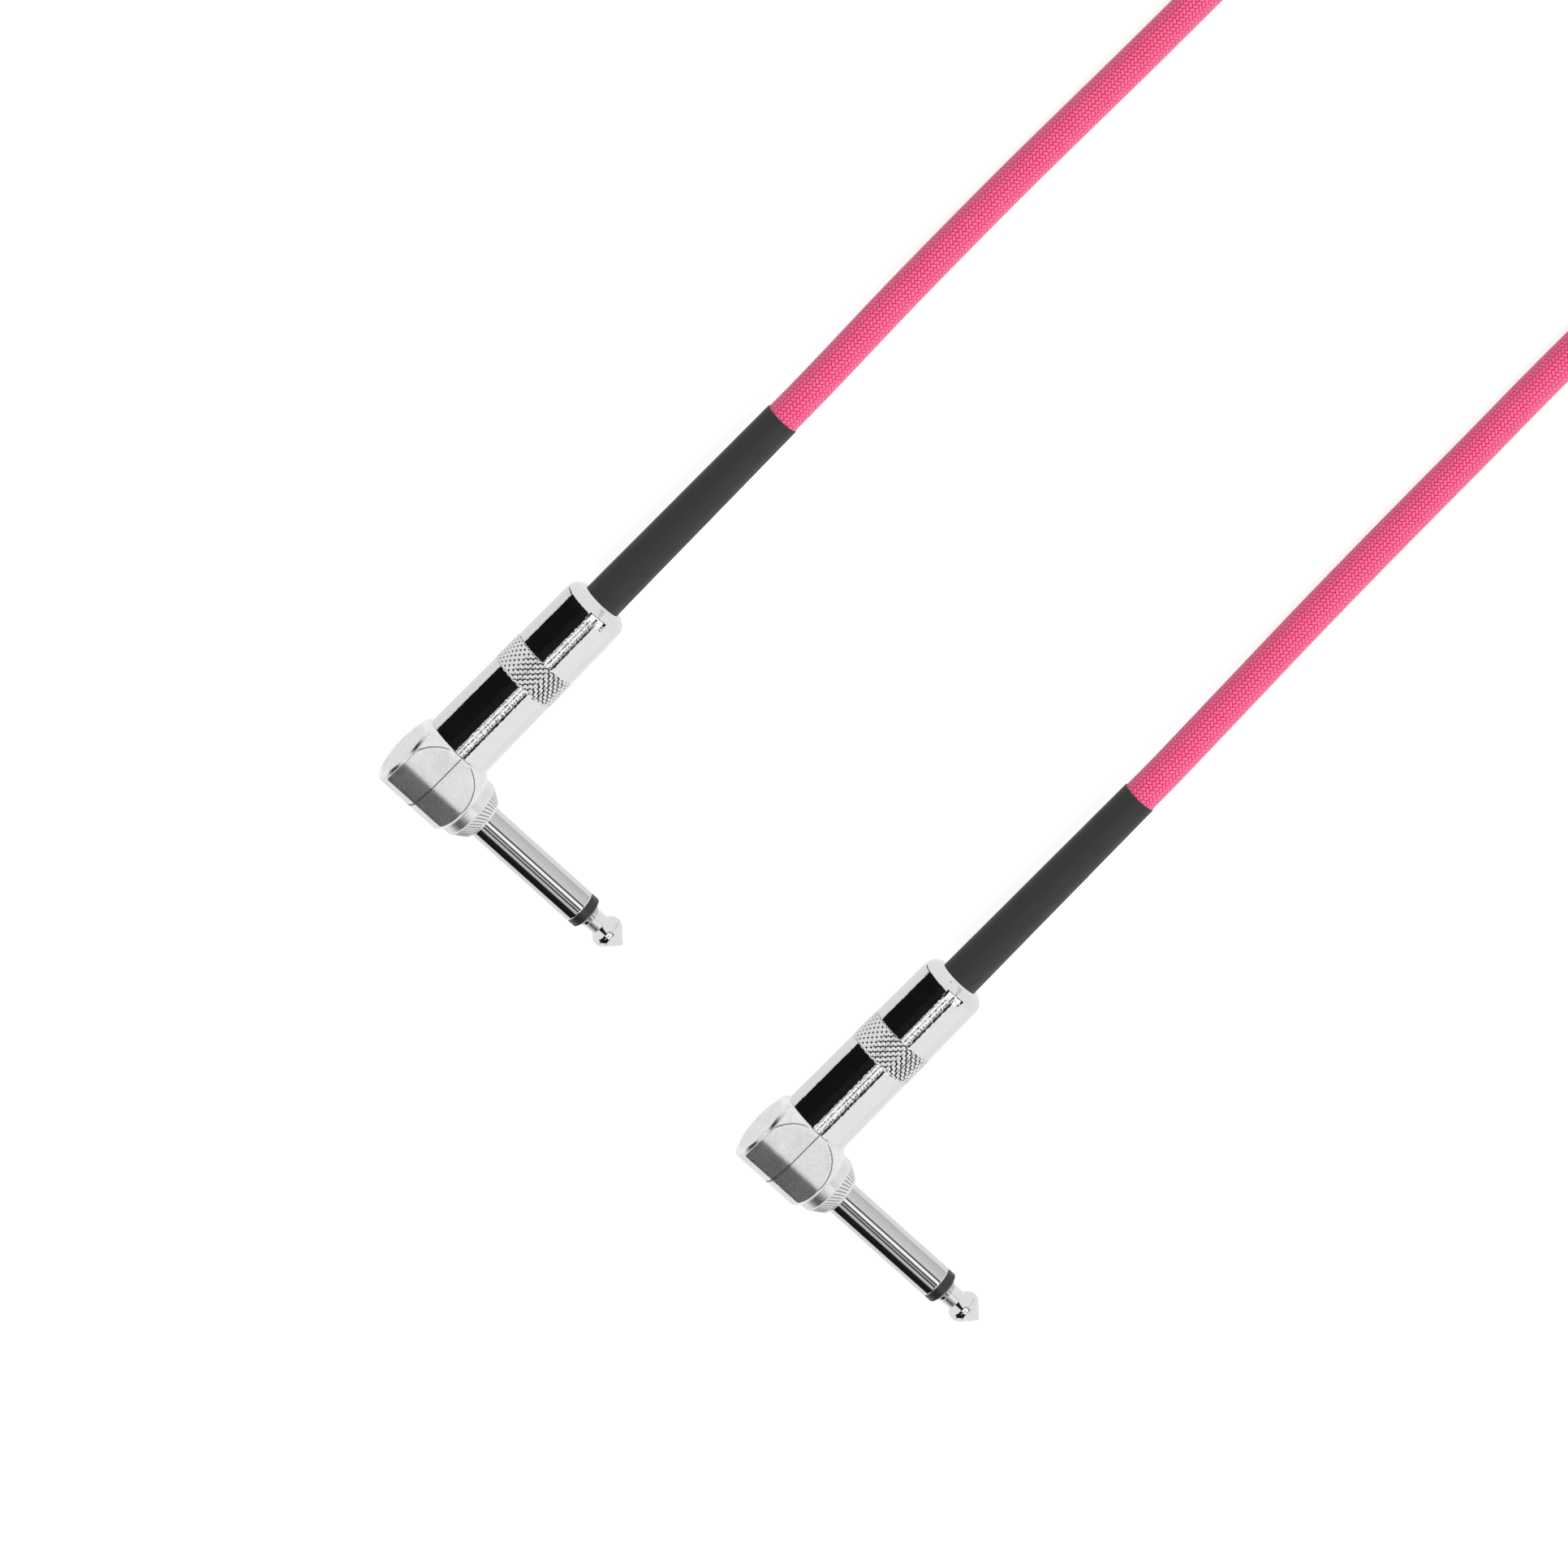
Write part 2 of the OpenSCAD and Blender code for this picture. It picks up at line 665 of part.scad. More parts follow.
// Ground washer with its strip and the clamp round the jacket
module ground_clamp(end) {
    fold = ground_washer_d / 2;
    cut = 4 * clamp_r;
    cut_x = cut * sin(clamp_open / 2);
    cut_y = cut * cos(clamp_open / 2);
    color("goldenrod") at_plug(end) {
        along_finger()
            difference() {
                union() {
                    translate([0, 0, ground_at]) cylinder(d = ground_washer_d, h = lug_t);
                    translate([0, -strip_w / 2, ground_at]) cube([fold, strip_w, lug_t]);
                }
                translate([0, 0, ground_at - join])
                    cylinder(d = rivet_d + 2 * press_gap, h = lug_t + 2 * join);
            }
        translate([fold - lug_t, -ground_at - lug_t, -strip_w / 2])
            cube([lug_t, ground_at + lug_t - strip_at, strip_w]);
        translate([fold - lug_t, -strip_at - lug_t, -strip_w / 2])
            cube([clamp_at + join - fold + lug_t, lug_t, strip_w]);
        along_barrel()
            difference() {
                ring_solid(clamp_r + lug_t, clamp_r, clamp_at, clamp_at + clamp_len);
                translate([0, 0, clamp_at - join])
                    linear_extrude(height = clamp_len + 2 * join)
                        polygon([[0, 0], [-cut_x, cut_y], [cut_x, cut_y]]);
            }
    }
}

// ---------------------------------------------------------------- the cord's end in a plug

// Braided jacket, from inside the barrel to the boot's end
module jacket(end) {
    color("hotpink") at_plug(end) along_barrel()
        ring_solid(cord_d / 2, screen_d / 2 + press_gap, jacket_at, boot_end);
}

// Copper screen
module screen(end) {
    color("peru") at_plug(end) along_barrel()
        ring_solid(screen_d / 2, dielectric_d / 2 + press_gap, screen_at, boot_end);
}

// Insulation on the core
module dielectric(end) {
    color("ivory") at_plug(end) along_barrel()
        ring_solid(dielectric_d / 2, core_d / 2 + press_gap, dielectric_at, boot_end);
}

// Copper core, bent down to the tip's lug and soldered on it
module core_wire(end) {
    bend_at = dielectric_at - bare_core;
    drop = tip_lug_at - seat_gap - core_d / 2;
    run = bend_at - core_at - core_d;
    line = [
        [core_at, -drop, 0], [core_at + core_d, -drop, 0],
        for (x = [0.25 : 0.25 : 0.75]) [core_at + core_d + x * run, -drop * (1 - rise(x)), 0],
        [bend_at, 0, 0], [boot_end, 0, 0]
    ];
    color("darkorange") at_plug(end) swept_tube(line, core_d / 2, 12);
}

// ---------------------------------------------------------------- the cord

// Free stretch from the first plug to the coil's lowest layer
module cord_a() {
    color("deeppink") swept_tube(line_a, cord_r, 10);
}

// Free stretch from the second plug up to the coil's top layer
module cord_b() {
    color("deeppink") swept_tube(line_b, cord_r, 10);
}

// The length that is put away, wound in and out in layers
module cord_coil() {
    color("deeppink") swept_tube(coil_line, cord_r, 6);
}

// Tie round all the turns on the coil's +X side, a quarter turn from where it starts
module cord_tie() {
    tied = [for (t = [0.25 : 1 : coil_turns]) coil_point(t)];
    outer_r = -least([for (point = tied) coil_at[0] - point[0]]) + cord_r + tie_gap;
    inner_turn = least([for (point = tied) point[0] - coil_at[0]]) - cord_r;
    inner_r = sqrt(pow(inner_turn, 2) - pow(tie_w / 2, 2)) - tie_gap;
    top = -least([for (point = tied) -point[2]]) + cord_r + tie_gap;
    color([0.1, 0.1, 0.1])
        translate([coil_at[0], coil_at[1] + tie_w / 2, 0])
            rotate([90, 0, 0])
                linear_extrude(height = tie_w)
                    difference() {
                        union() {
                            translate([inner_r - tie_t, 0])
                                round_box(outer_r - inner_r + 2 * tie_t, top + tie_t, tie_round + tie_t);
                            translate([(inner_r + outer_r - tie_tail) / 2, top])
                                square([tie_tail, 2 * tie_t]);
                        }
                        translate([inner_r, tie_t])
                            round_box(outer_r - inner_r, top - tie_t, tie_round);
                    }
}

// ---------------------------------------------------------------- the nodes

tip("a");  // plug_a_tip
tip_insulator("a");  // plug_a_tip_insulator
finger("a");  // plug_a_finger
head_base("a");  // plug_a_head_base
head_cap("a");  // plug_a_head_cap
tip_washer("a");  // plug_a_tip_washer
tip_lug("a");  // plug_a_tip_lug
ground_clamp("a");  // plug_a_ground_clamp
barrel("a");  // plug_a_barrel
liner("a");  // plug_a_liner
boot("a");  // plug_a_boot
jacket("a");  // plug_a_jacket
screen("a");  // plug_a_screen
dielectric("a");  // plug_a_dielectric
core_wire("a");  // plug_a_core_wire
tip("b");  // plug_b_tip
tip_insulator("b");  // plug_b_tip_insulator
finger("b");  // plug_b_finger
head_base("b");  // plug_b_head_base
head_cap("b");  // plug_b_head_cap
tip_washer("b");  // plug_b_tip_washer
tip_lug("b");  // plug_b_tip_lug
ground_clamp("b");  // plug_b_ground_clamp
barrel("b");  // plug_b_barrel
liner("b");  // plug_b_liner
boot("b");  // plug_b_boot
jacket("b");  // plug_b_jacket
screen("b");  // plug_b_screen
dielectric("b");  // plug_b_dielectric
core_wire("b");  // plug_b_core_wire
cord_a();
cord_b();
cord_coil();
cord_tie();
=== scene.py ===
"""The looks of the instrument cable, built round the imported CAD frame.

Lengths are in metres in the row frame. A plug's own sizes are in millimetres from the point where
its barrel's axis and its finger's axis cross, with +X along the barrel and -Y along the finger.
"""
import itertools
import json
import math

import bmesh
import bpy
import numpy as np
from mathutils import Matrix, Vector

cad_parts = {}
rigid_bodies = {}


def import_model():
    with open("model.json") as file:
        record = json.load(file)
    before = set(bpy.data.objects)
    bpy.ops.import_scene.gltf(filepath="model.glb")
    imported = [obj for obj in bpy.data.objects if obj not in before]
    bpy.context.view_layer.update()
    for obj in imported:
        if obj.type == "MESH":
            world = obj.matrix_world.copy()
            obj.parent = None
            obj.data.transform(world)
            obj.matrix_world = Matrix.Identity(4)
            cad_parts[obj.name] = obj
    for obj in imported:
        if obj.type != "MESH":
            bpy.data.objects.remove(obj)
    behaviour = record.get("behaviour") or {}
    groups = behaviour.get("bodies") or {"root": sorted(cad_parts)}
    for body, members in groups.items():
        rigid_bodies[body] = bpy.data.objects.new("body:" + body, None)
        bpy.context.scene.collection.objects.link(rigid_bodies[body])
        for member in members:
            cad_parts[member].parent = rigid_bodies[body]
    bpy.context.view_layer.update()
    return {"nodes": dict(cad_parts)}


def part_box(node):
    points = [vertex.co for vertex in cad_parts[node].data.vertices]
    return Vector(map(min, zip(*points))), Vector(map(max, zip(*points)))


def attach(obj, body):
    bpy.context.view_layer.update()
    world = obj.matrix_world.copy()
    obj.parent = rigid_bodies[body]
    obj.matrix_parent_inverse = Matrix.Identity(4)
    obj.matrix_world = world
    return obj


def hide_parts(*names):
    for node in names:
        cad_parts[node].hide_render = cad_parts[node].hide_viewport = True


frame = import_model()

MM = 0.001
PLUGS = ("a", "b")

# ---- places, from the frame


def plug_origin(end):
    """Where a plug's two axes cross: on the barrel's axis and on the finger's axis."""
    barrel_low, barrel_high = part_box(f"plug_{end}_barrel")
    finger_low, finger_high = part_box(f"plug_{end}_finger")
    return Vector((
        (finger_low.x + finger_high.x) / 2,
        (barrel_low.y + barrel_high.y) / 2,
        (barrel_low.z + barrel_high.z) / 2,
    ))


ORIGIN = {end: plug_origin(end) for end in PLUGS}


def along_barrel(node):
    """Where a node starts and ends along the barrel, in a plug's own millimetres."""
    low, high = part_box(f"plug_a_{node}")
    return (low.x - ORIGIN["a"].x) / MM, (high.x - ORIGIN["a"].x) / MM


def along_finger(node):
    """Where a node starts and ends along the finger, in a plug's own millimetres."""
    low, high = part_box(f"plug_a_{node}")
    return (ORIGIN["a"].y - high.y) / MM, (ORIGIN["a"].y - low.y) / MM


# ---- sizes, in millimetres

FINGER_D = 6.35
FINGER_BORE_D = 3.8
TIP_LEN = 8.0
RING_LEN = 2.2
RING_CHAMFER = 0.5
RING_STEP = 0.05
RING_ROUND = 0.12
RING_FRONT_D = 4.6
NECK_D = 3.8
COLLAR_D = 4.0
COLLAR_LEN = 0.6
UNDERCUT = 0.14
UNDERCUT_W = 0.2
WAIST_D = 3.7
BALL_D = 5.9
BALL_ROUND = 1.9
BALL_AT = 4.4
CONE_FROM = 45
POINT_D = 1.0
ROD_D = 2.4
FLANGE_D = 11.4
FLANGE_RIM = 1.9
FLANGE_CONE = 2.3
FLANGE_RIBS = 44
FLANGE_ROUND = 0.18
RIB_SLANT = 1.6
RIB_HEIGHT = 0.15
RIB_SINK = 0.11
CONE_STEPS = 24
NOSE_D = 8.4
NOSE_ROUND = 0.35
STUB_D = 5.8

HEAD_T = 12.9
HEAD_BALL_D = 18.9
HEAD_BACK = 6.6
BACK_ROUND = 8.4
FLAT_END = 0.6
FACET_DROP = 1.2
FACET_END = 4.4
CAP_FACE = 6.8
CAP_DISC_D = 10.3
CAP_BEVEL = 0.45
BASE_FACE = 7.35
PARTING = 0.15
GROOVE_W = 0.14
GROOVE_DEPTH = 0.2
CHAMBER_D = 9.2
CAP_WALL = 1.2
BASE_WALL = 3.0
SEAT_AT = 6.5
THREAD_D = 10.4
THREAD_LEN = 6.0
THREAD_PITCH = 1.0
SPIGOT_BORE_D = 8.0

BARREL_D = 12.8
BARREL_END_D = 12.1
BARREL_ROUND = 2.2
BARREL_WALL = 2.5
BARREL_BORE_D = 10.0
MOUTH_CHAMFER = 0.2
KNURL_AT = 15.9
KNURL_W = 5.8
KNURL_H = 0.12
KNURL_DEPTH = 0.25
KNURLS_ROUND = 32
KNURL_ROWS = 4.6
KNURL_POINTS = 20
BOOT_D = 7.1
BOOT_END_D = 6.5

CORD_D = 6.15
SEAT_GAP = 0.03
RUN_GAP = 0.06
PRESS_GAP = 0.02

FLANGE_AT = BASE_FACE + SEAT_GAP
CONE_AT = FLANGE_AT + FLANGE_RIM
NOSE_AT = CONE_AT + FLANGE_CONE
MOUTH_AT, BARREL_END = along_barrel("barrel")
KNURL_FROM = MOUTH_AT + KNURL_AT
KNURL_TO = KNURL_FROM + KNURL_W

# How far edges are broken: well, finely, and hardly at all.
BROKEN = 0.1
FINE = 0.04
HAIR = 0.02

# ---- camera

VIEW_FROM = Vector((0.1761, 0.2525, 0.9514)).normalized()
VIEW_RIGHT = Vector((0.6918, -0.7193, 0.0628))
LOOK_AT = ORIGIN["a"] + Vector((0.039435, -0.04524, 0))
FRAME_WIDTH = 0.26666
CAMERA_DISTANCE = 6.0
SENSOR_MM = 36.0


def add_object(name, data):
    """A new object in the scene."""
    made = bpy.data.objects.new(name, data)
    bpy.context.scene.collection.objects.link(made)
    return made


def make_camera():
    """A long lens far away, because the photograph shows no perspective between the two plugs."""
    right = (VIEW_RIGHT - VIEW_RIGHT.dot(VIEW_FROM) * VIEW_FROM).normalized()
    up = VIEW_FROM.cross(right)
    data = bpy.data.cameras.new("camera")
    data.sensor_width = SENSOR_MM
    data.lens = SENSOR_MM * CAMERA_DISTANCE / FRAME_WIDTH
    data.clip_end = 100
    camera = add_object("camera", data)
    turn = Matrix((right, up, VIEW_FROM)).transposed().to_4x4()
    camera.matrix_world = Matrix.Translation(LOOK_AT + CAMERA_DISTANCE * VIEW_FROM) @ turn
    bpy.context.scene.camera = camera
    return right, up


RIGHT, UP = make_camera()

# ---- mesh helpers


def mesh_object(name, points, faces, sharp=40):
    """A smooth-shaded mesh object. Edges sharper than the given angle stay sharp."""
    mesh = bpy.data.meshes.new(name)
    mesh.from_pydata(np.asarray(points, float).tolist(), [], [list(map(int, f)) for f in faces])
    mesh.validate()
    mesh.shade_smooth()
    mesh.set_sharp_from_angle(angle=math.radians(sharp))
    return add_object(name, mesh)


def ring_faces(rings, around, wrap=False):
    """Quads between neighbouring rings of points, with the last ring joined to the first by wrap."""
    index = np.arange(rings * around).reshape(rings, around)
    if wrap:
        index = np.vstack((index, index[:1]))
    a, c = index[:-1], index[1:]
    b, d = (np.roll(ring, -1, axis=1) for ring in (a, c))
    return np.stack((a, b, d, c), axis=-1).reshape(-1, 4).tolist()


def end_faces(rings, around):
    """One face over the first ring of points and one over the last."""
    last = (rings - 1) * around
    return [list(range(around))[::-1], [last + k for k in range(around)]]


def end_fans(rings, around):
    """Triangles from the first and the last ring to two points that follow all the rings."""
    first, last, top = rings * around, rings * around + 1, (rings - 1) * around
    fans = [[first, (k + 1) % around, k] for k in range(around)]
    return fans + [[last, top + k, top + (k + 1) % around] for k in range(around)]


def arc(at, radius, r, start, end, steps):
    """Points (distance along the axis, radius) on an arc; its angle is 0 away from the axis."""
    angles = [math.radians(start + (end - start) * i / steps) for i in range(steps + 1)]
    return [(at + r * math.sin(t), radius + r * math.cos(t)) for t in angles]


def held(profile):
    """The profile with more points on its long lines, so that their shading stays true."""
    hold, span = 0.08, 2.0
    points = [profile[0]]
    for start, end in zip(profile, profile[1:]):
        a, b = np.array(start, float), np.array(end, float)
        length = np.linalg.norm(b - a)
        if length > 4 * hold:
            places = np.linspace(hold, length - hold, int(length / span) + 2)
            points += [tuple(a + (b - a) * place / length) for place in places]
        points.append(end)
    return points


def lathe(profile, around, relief=None, wrap=True):
    """Points and faces of a profile turned round +X. A profile that doesn't wrap ends on the axis."""
    angles = 2 * math.pi * np.arange(around)[None, :] / around
    at, radius = np.array(profile, float).T[:, :, None] + 0 * angles
    if relief:
        radius = radius + relief(at, radius, angles + 0 * at)
    points = np.stack((at, radius * np.cos(angles), radius * np.sin(angles)), axis=-1)
    points = points.reshape(-1, 3)
    faces = ring_faces(len(profile), around, wrap)
    if not wrap:
        points = np.vstack((points, *[(profile[k][0], 0, 0) for k in (0, -1)]))
        faces += end_fans(len(profile), around)
    return points, faces


TO_FINGER = np.array(((0, -1, 0), (-1, 0, 0), (0, 0, -1)), float)


def turned_to_finger(points):
    """Points round +X, turned so that the axis is the finger's, -Y. It is a rotation."""
    return np.asarray(points) @ TO_FINGER.T


def placed(points, end):
    """A plug's own millimetres as metres in the row frame."""
    return np.asarray(points) * MM + np.array(ORIGIN[end])


def face_outwards(piece):
    """Turns a closed mesh's faces outwards."""
    work = bmesh.new()
    work.from_mesh(piece.data)
    bmesh.ops.recalc_face_normals(work, faces=work.faces)
    work.to_mesh(piece.data)
    work.free()


def closed_mesh(name, points, faces, sharp=40):
    """A mesh object with its faces outwards."""
    piece = mesh_object(name, points, faces, sharp)
    face_outwards(piece)
    return piece


def finish_piece(piece, body, node, material):
    """Gives a piece its material and its body, and hides the CAD node that it stands for."""
    piece.data.materials.clear()
    piece.data.materials.append(material)
    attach(piece, body)
    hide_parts(node)


def for_each_plug(name, points, faces, material, sharp=40, moves=False):
    """The same piece in both plugs, standing for the CAD node of that name."""
    for end in PLUGS:
        piece = closed_mesh(f"{end}_{name}", placed(points, end), faces, sharp)
        body = f"barrel_{end}" if moves else "root"
        finish_piece(piece, body, f"plug_{end}_{name}", material)


# ---- material helpers


class Tree:
    """Short words for building a node tree."""

    def __init__(self, owner):
        self.owner = owner
        owner.use_nodes = True
        self.tree = owner.node_tree
        self.tree.nodes.clear()

    def put(self, value, socket):
        """Links a socket, or sets a constant on the node's own input."""
        if isinstance(value, bpy.types.NodeSocket):
            self.tree.links.new(value, socket)
        else:
            socket.default_value = value

    def node(self, kind, inputs=None, **settings):
        """A node with its settings and its inputs, by name or by number."""
        made = self.tree.nodes.new(kind)
        for key, value in settings.items():
            setattr(made, key, value)
        for key, value in (inputs or {}).items():
            self.put(value, made.inputs[key])
        return made

    def math(self, operation, *values):
        return self.node("ShaderNodeMath", dict(enumerate(values)), operation=operation).outputs[0]

    def plus(self, a, b):
        return self.math("ADD", a, b)

    def minus(self, a, b):
        return self.math("SUBTRACT", a, b)

    def times(self, a, b):
        return self.math("MULTIPLY", a, b)

    def hump(self, share):
        """0 at both ends of a share and 1 in its middle."""
        return self.times(self.times(share, self.minus(1.0, share)), 4.0)

    def blend(self, share, a, b, kind="FLOAT", first=2, out=0):
        """a where share is 0, b where it is 1."""
        inputs = {0: share, first: a, first + 1: b}
        return self.node("ShaderNodeMix", inputs, data_type=kind).outputs[out]

    def colours(self, share, a, b):
        """The same for colours."""
        return self.blend(share, a, b, "RGBA", first=6, out=2)

    def between(self, value, low, high, to_low=0.0, to_high=1.0):
        """to_low up to low, to_high from high on, in proportion between them."""
        inputs = {0: value, 1: low, 2: high, 3: to_low, 4: to_high}
        return self.node("ShaderNodeMapRange", inputs).outputs[0]

    def under(self, value, low, high):
        """1 up to low, 0 from high on."""
        return self.between(value, low, high, 1.0, 0.0)

    def ramp(self, value, *stops):
        made = self.node("ShaderNodeValToRGB", {0: value})
        ramp = made.color_ramp
        while len(ramp.elements) < len(stops):
            ramp.elements.new(1.0)
        for element, (at, colour) in zip(ramp.elements, stops):
            element.position = at
            element.color = colour
        return made.outputs[0]

    def place(self, scale=(1, 1, 1)):
        """The object's own coordinates, stretched."""
        at = self.node("ShaderNodeTexCoord").outputs["Object"]
        return self.node("ShaderNodeMapping", {"Vector": at, "Scale": scale}).outputs[0]

    def noise(self, scale, detail=2.0, roughness=0.5, stretch=(1, 1, 1)):
        inputs = {
            "Vector": self.place(stretch), "Scale": scale, "Detail": detail, "Roughness": roughness
        }
        return self.node("ShaderNodeTexNoise", inputs).outputs["Fac"]

    def marked(self, attribute):
        """The value that mark() wrote on a piece's points."""
        return self.node("ShaderNodeAttribute", attribute_name=attribute).outputs["Fac"]

    def bump(self, height, distance, strength=1.0):
        inputs = {"Height": height, "Distance": distance, "Strength": strength}
        return self.node("ShaderNodeBump", inputs).outputs[0]

    def surface(self, **inputs):
        """Gives the material a Principled surface with the named inputs, and returns it."""
        named = {key.replace("_", " "): value for key, value in inputs.items()}
        shader = self.node("ShaderNodeBsdfPrincipled", named)
        self.node("ShaderNodeOutputMaterial", {0: shader.outputs[0]})
        return self.owner


def new_material(name):
    return Tree(bpy.data.materials.new(name))


def rgb(r, g, b):
    return (r, g, b, 1.0)


def grey(tone):
    return rgb(tone, tone, tone)


# ---- materials

# The noises' scales, over the object's own metres.
TURNING_LINES, TURNING_STRETCH = 60, (1, 150, 1)
HANDLING_MARKS = 900
COAT_GRAIN = 9000
SAND_GRAIN = 5500
CAST_PATCHES = 350
PEEL = 2800
PLATING_SPOTS = 420
PLASTIC_GRAIN = 5000
TUBE_GRAIN = 7000
TUBE_WAVES, TUBE_STRETCH = 600, (0.5, 1, 1)
YARN_FIBRES = 6000
STRAP_LOOPS = 2600
STRAP_WEAVE = 1500.0
STOCK_MOTTLE = 1500
# Nearly all of a noise's values lie between these two.
NOISE_RANGE = (0.3, 0.7)


def turned_nickel():
    """Bright nickel on turned brass, with faint lines round the finger. The flange is satin, with
    painted shade in the valleys between its ribs.
    """
    t = new_material("turned_nickel")
    lines = t.noise(TURNING_LINES, 3.0, 0.6, TURNING_STRETCH)
    marks = t.noise(HANDLING_MARKS, 4.0, 0.6)
    grain = t.noise(COAT_GRAIN, 3.0, 0.7)
    satin = t.marked("satin")
    bright = t.colours(marks, rgb(0.69, 0.69, 0.685), rgb(0.75, 0.75, 0.745))
    dull = t.colours(t.between(grain, *NOISE_RANGE), rgb(0.68, 0.68, 0.67), rgb(0.92, 0.92, 0.91))
    # Painted shade: the satin darkens towards grey 0.06 in the valleys between the flange's ribs.
    dull = t.colours(t.times(t.marked("rib_shade"), 0.75), dull, grey(0.06))
    smooth = t.between(marks, *NOISE_RANGE, 0.04, 0.08)
    return t.surface(
        Base_Color=t.colours(satin, bright, dull),
        Metallic=1.0,
        Roughness=t.blend(satin, smooth, t.between(grain, *NOISE_RANGE, 0.3, 0.4)),
        Normal=t.bump(lines, distance=0.000002, strength=0.5),
    )


def blasted_nickel():
    """Nickel on a cast, sandblasted head: dull, finely grained, with painted shade dark down in the
    parting line and faint on the creases round the flats.
    """
    t = new_material("blasted_nickel")
    grain = t.noise(SAND_GRAIN, 1.0, 0.6)
    patches = t.noise(CAST_PATCHES, 3.0, 0.55)
    cut = t.marked("cut")
    tone = t.plus(t.times(grain, 0.7), t.times(patches, 0.3))
    coat = t.colours(t.between(tone, *NOISE_RANGE), rgb(0.62, 0.62, 0.61), rgb(0.98, 0.98, 0.97))
    return t.surface(
        # Painted shade: the groove mark darkens the parting line and the creases round the flats
        # towards grey 0.03.
        Base_Color=t.colours(t.marked("groove"), coat, grey(0.03)),
        Metallic=1.0,
        Roughness=t.blend(cut, t.between(tone, *NOISE_RANGE, 0.26, 0.32), 0.12),
        Normal=t.bump(t.blend(cut, grain, 0.5), distance=0.00003),
    )


def barrel_nickel():
    """Bright nickel with the faint peel that polished plating has, and painted shade dark in the pits
    of its knurl.
    """
    t = new_material("barrel_nickel")
    peel = t.noise(PEEL, 0.0, 0.5)
    spots = t.noise(PLATING_SPOTS, 2.0, 0.5)
    coat = t.colours(spots, rgb(0.70, 0.70, 0.695), rgb(0.75, 0.75, 0.745))
    return t.surface(
        # Painted shade: the knurl's pits go nearly black (grey 0.02).
        Base_Color=t.colours(t.marked("pit_shade"), coat, grey(0.02)),
        Metallic=1.0,
        Roughness=t.between(spots, 0.35, 0.65, 0.03, 0.07),
        Normal=t.bump(peel, distance=0.0000085),
    )


def moulded_black():
    """Black moulded plastic, slightly glossy."""
    t = new_material("moulded_black")
    grain = t.noise(PLASTIC_GRAIN, 2.0, 0.5)
    return t.surface(
        Base_Color=t.colours(grain, grey(0.010), grey(0.022)),
        Roughness=t.between(grain, *NOISE_RANGE, 0.28, 0.4),
        Normal=t.bump(grain, distance=0.00001, strength=0.5),
    )


def shrunk_tube():
    """Matte black tube, shrunk over the braid, which shows faintly through it."""
    t = new_material("shrunk_tube")
    grain = t.noise(TUBE_GRAIN, 3.0, 0.6)
    waves = t.noise(TUBE_WAVES, 2.0, 0.5, TUBE_STRETCH)
    return t.surface(
        Base_Color=t.colours(grain, rgb(0.014, 0.014, 0.015), rgb(0.026, 0.026, 0.027)),
        Roughness=t.between(waves, *NOISE_RANGE, 0.5, 0.62),
        Normal=t.bump(t.plus(t.times(grain, 0.25), waves), distance=0.00004, strength=0.6),
    )


STRANDS_ROUND = 48
STITCH = 0.00078
OVER = 2.0
YARNS = 3
PINHOLE_SHADE = (0.2, 0.42)


def braid():
    """Herringbone braid: two sets of strands at 45 degrees, each over two and under two. Its pink has
    painted shade, darker down the strands towards the valleys and dark red in the pinholes.
    """
    t = new_material("braid")
    uv = t.node("ShaderNodeUVMap", uv_map="braid_map").outputs[0]
    u, v, _ = t.node("ShaderNodeSeparateXYZ", {0: uv}).outputs
    around, along = t.times(u, float(STRANDS_ROUND)), t.times(v, 2.0)
    first = t.times(t.plus(around, along), 0.5)
    second = t.times(t.minus(around, along), 0.5)
    first_share, second_share = t.math("FRACT", first), t.math("FRACT", second)
    first_cell, second_cell = t.math("FLOOR", first), t.math("FLOOR", second)
    phase = t.math("FLOORED_MODULO", t.plus(first_cell, second_cell), 2 * OVER)
    first_on_top = t.math("LESS_THAN", phase, OVER - 0.5)
    across = t.blend(first_on_top, second_share, first_share)
    step = t.math("FLOORED_MODULO", phase, OVER)
    reach = t.blend(first_on_top, first_share, second_share)
    crown = t.hump(across)
    swell = t.hump(t.times(t.plus(step, reach), 1 / OVER))
    height = t.times(t.math("POWER", crown, 0.22), t.math("POWER", swell, 0.5))
    # Painted shade: dark red in the pinholes between the strands.
    pinhole_shade = t.between(t.times(t.minus(1.0, crown), t.minus(1.0, swell)), *PINHOLE_SHADE)
    yarns = t.math("ABSOLUTE", t.math("SINE", t.times(across, YARNS * math.pi)))
    fibres = t.noise(YARN_FIBRES, 3.0, 0.7)
    relief = t.plus(t.plus(height, t.times(yarns, 0.10)), t.times(fibres, 0.12))
    cell = t.node("ShaderNodeCombineXYZ", {0: first_cell, 1: second_cell}).outputs[0]
    shades = t.node("ShaderNodeTexWhiteNoise", {0: cell}).outputs[0]
    # Painted shade: the pink darkens from the strands' crowns down to dark red in the valleys between
    # them.
    tone = t.ramp(
        height,
        (0.0, rgb(0.42, 0.0, 0.03)),
        (0.38, rgb(0.88, 0.022, 0.12)),
        (0.66, rgb(1.0, 0.072, 0.215)),
        (1.0, rgb(1.0, 0.155, 0.34)),
    )
    paler = t.colours(t.times(shades, 0.2), tone, rgb(1.0, 0.26, 0.44))
    return t.surface(
        Base_Color=t.colours(pinhole_shade, paler, rgb(0.25, 0.0, 0.02)),
        Roughness=0.7,
        Specular_IOR_Level=0.3,
        Sheen_Weight=1.0,
        Sheen_Roughness=0.35,
        Sheen_Tint=rgb(1.0, 0.72, 0.84),
        Normal=t.bump(relief, distance=0.00015),
    )


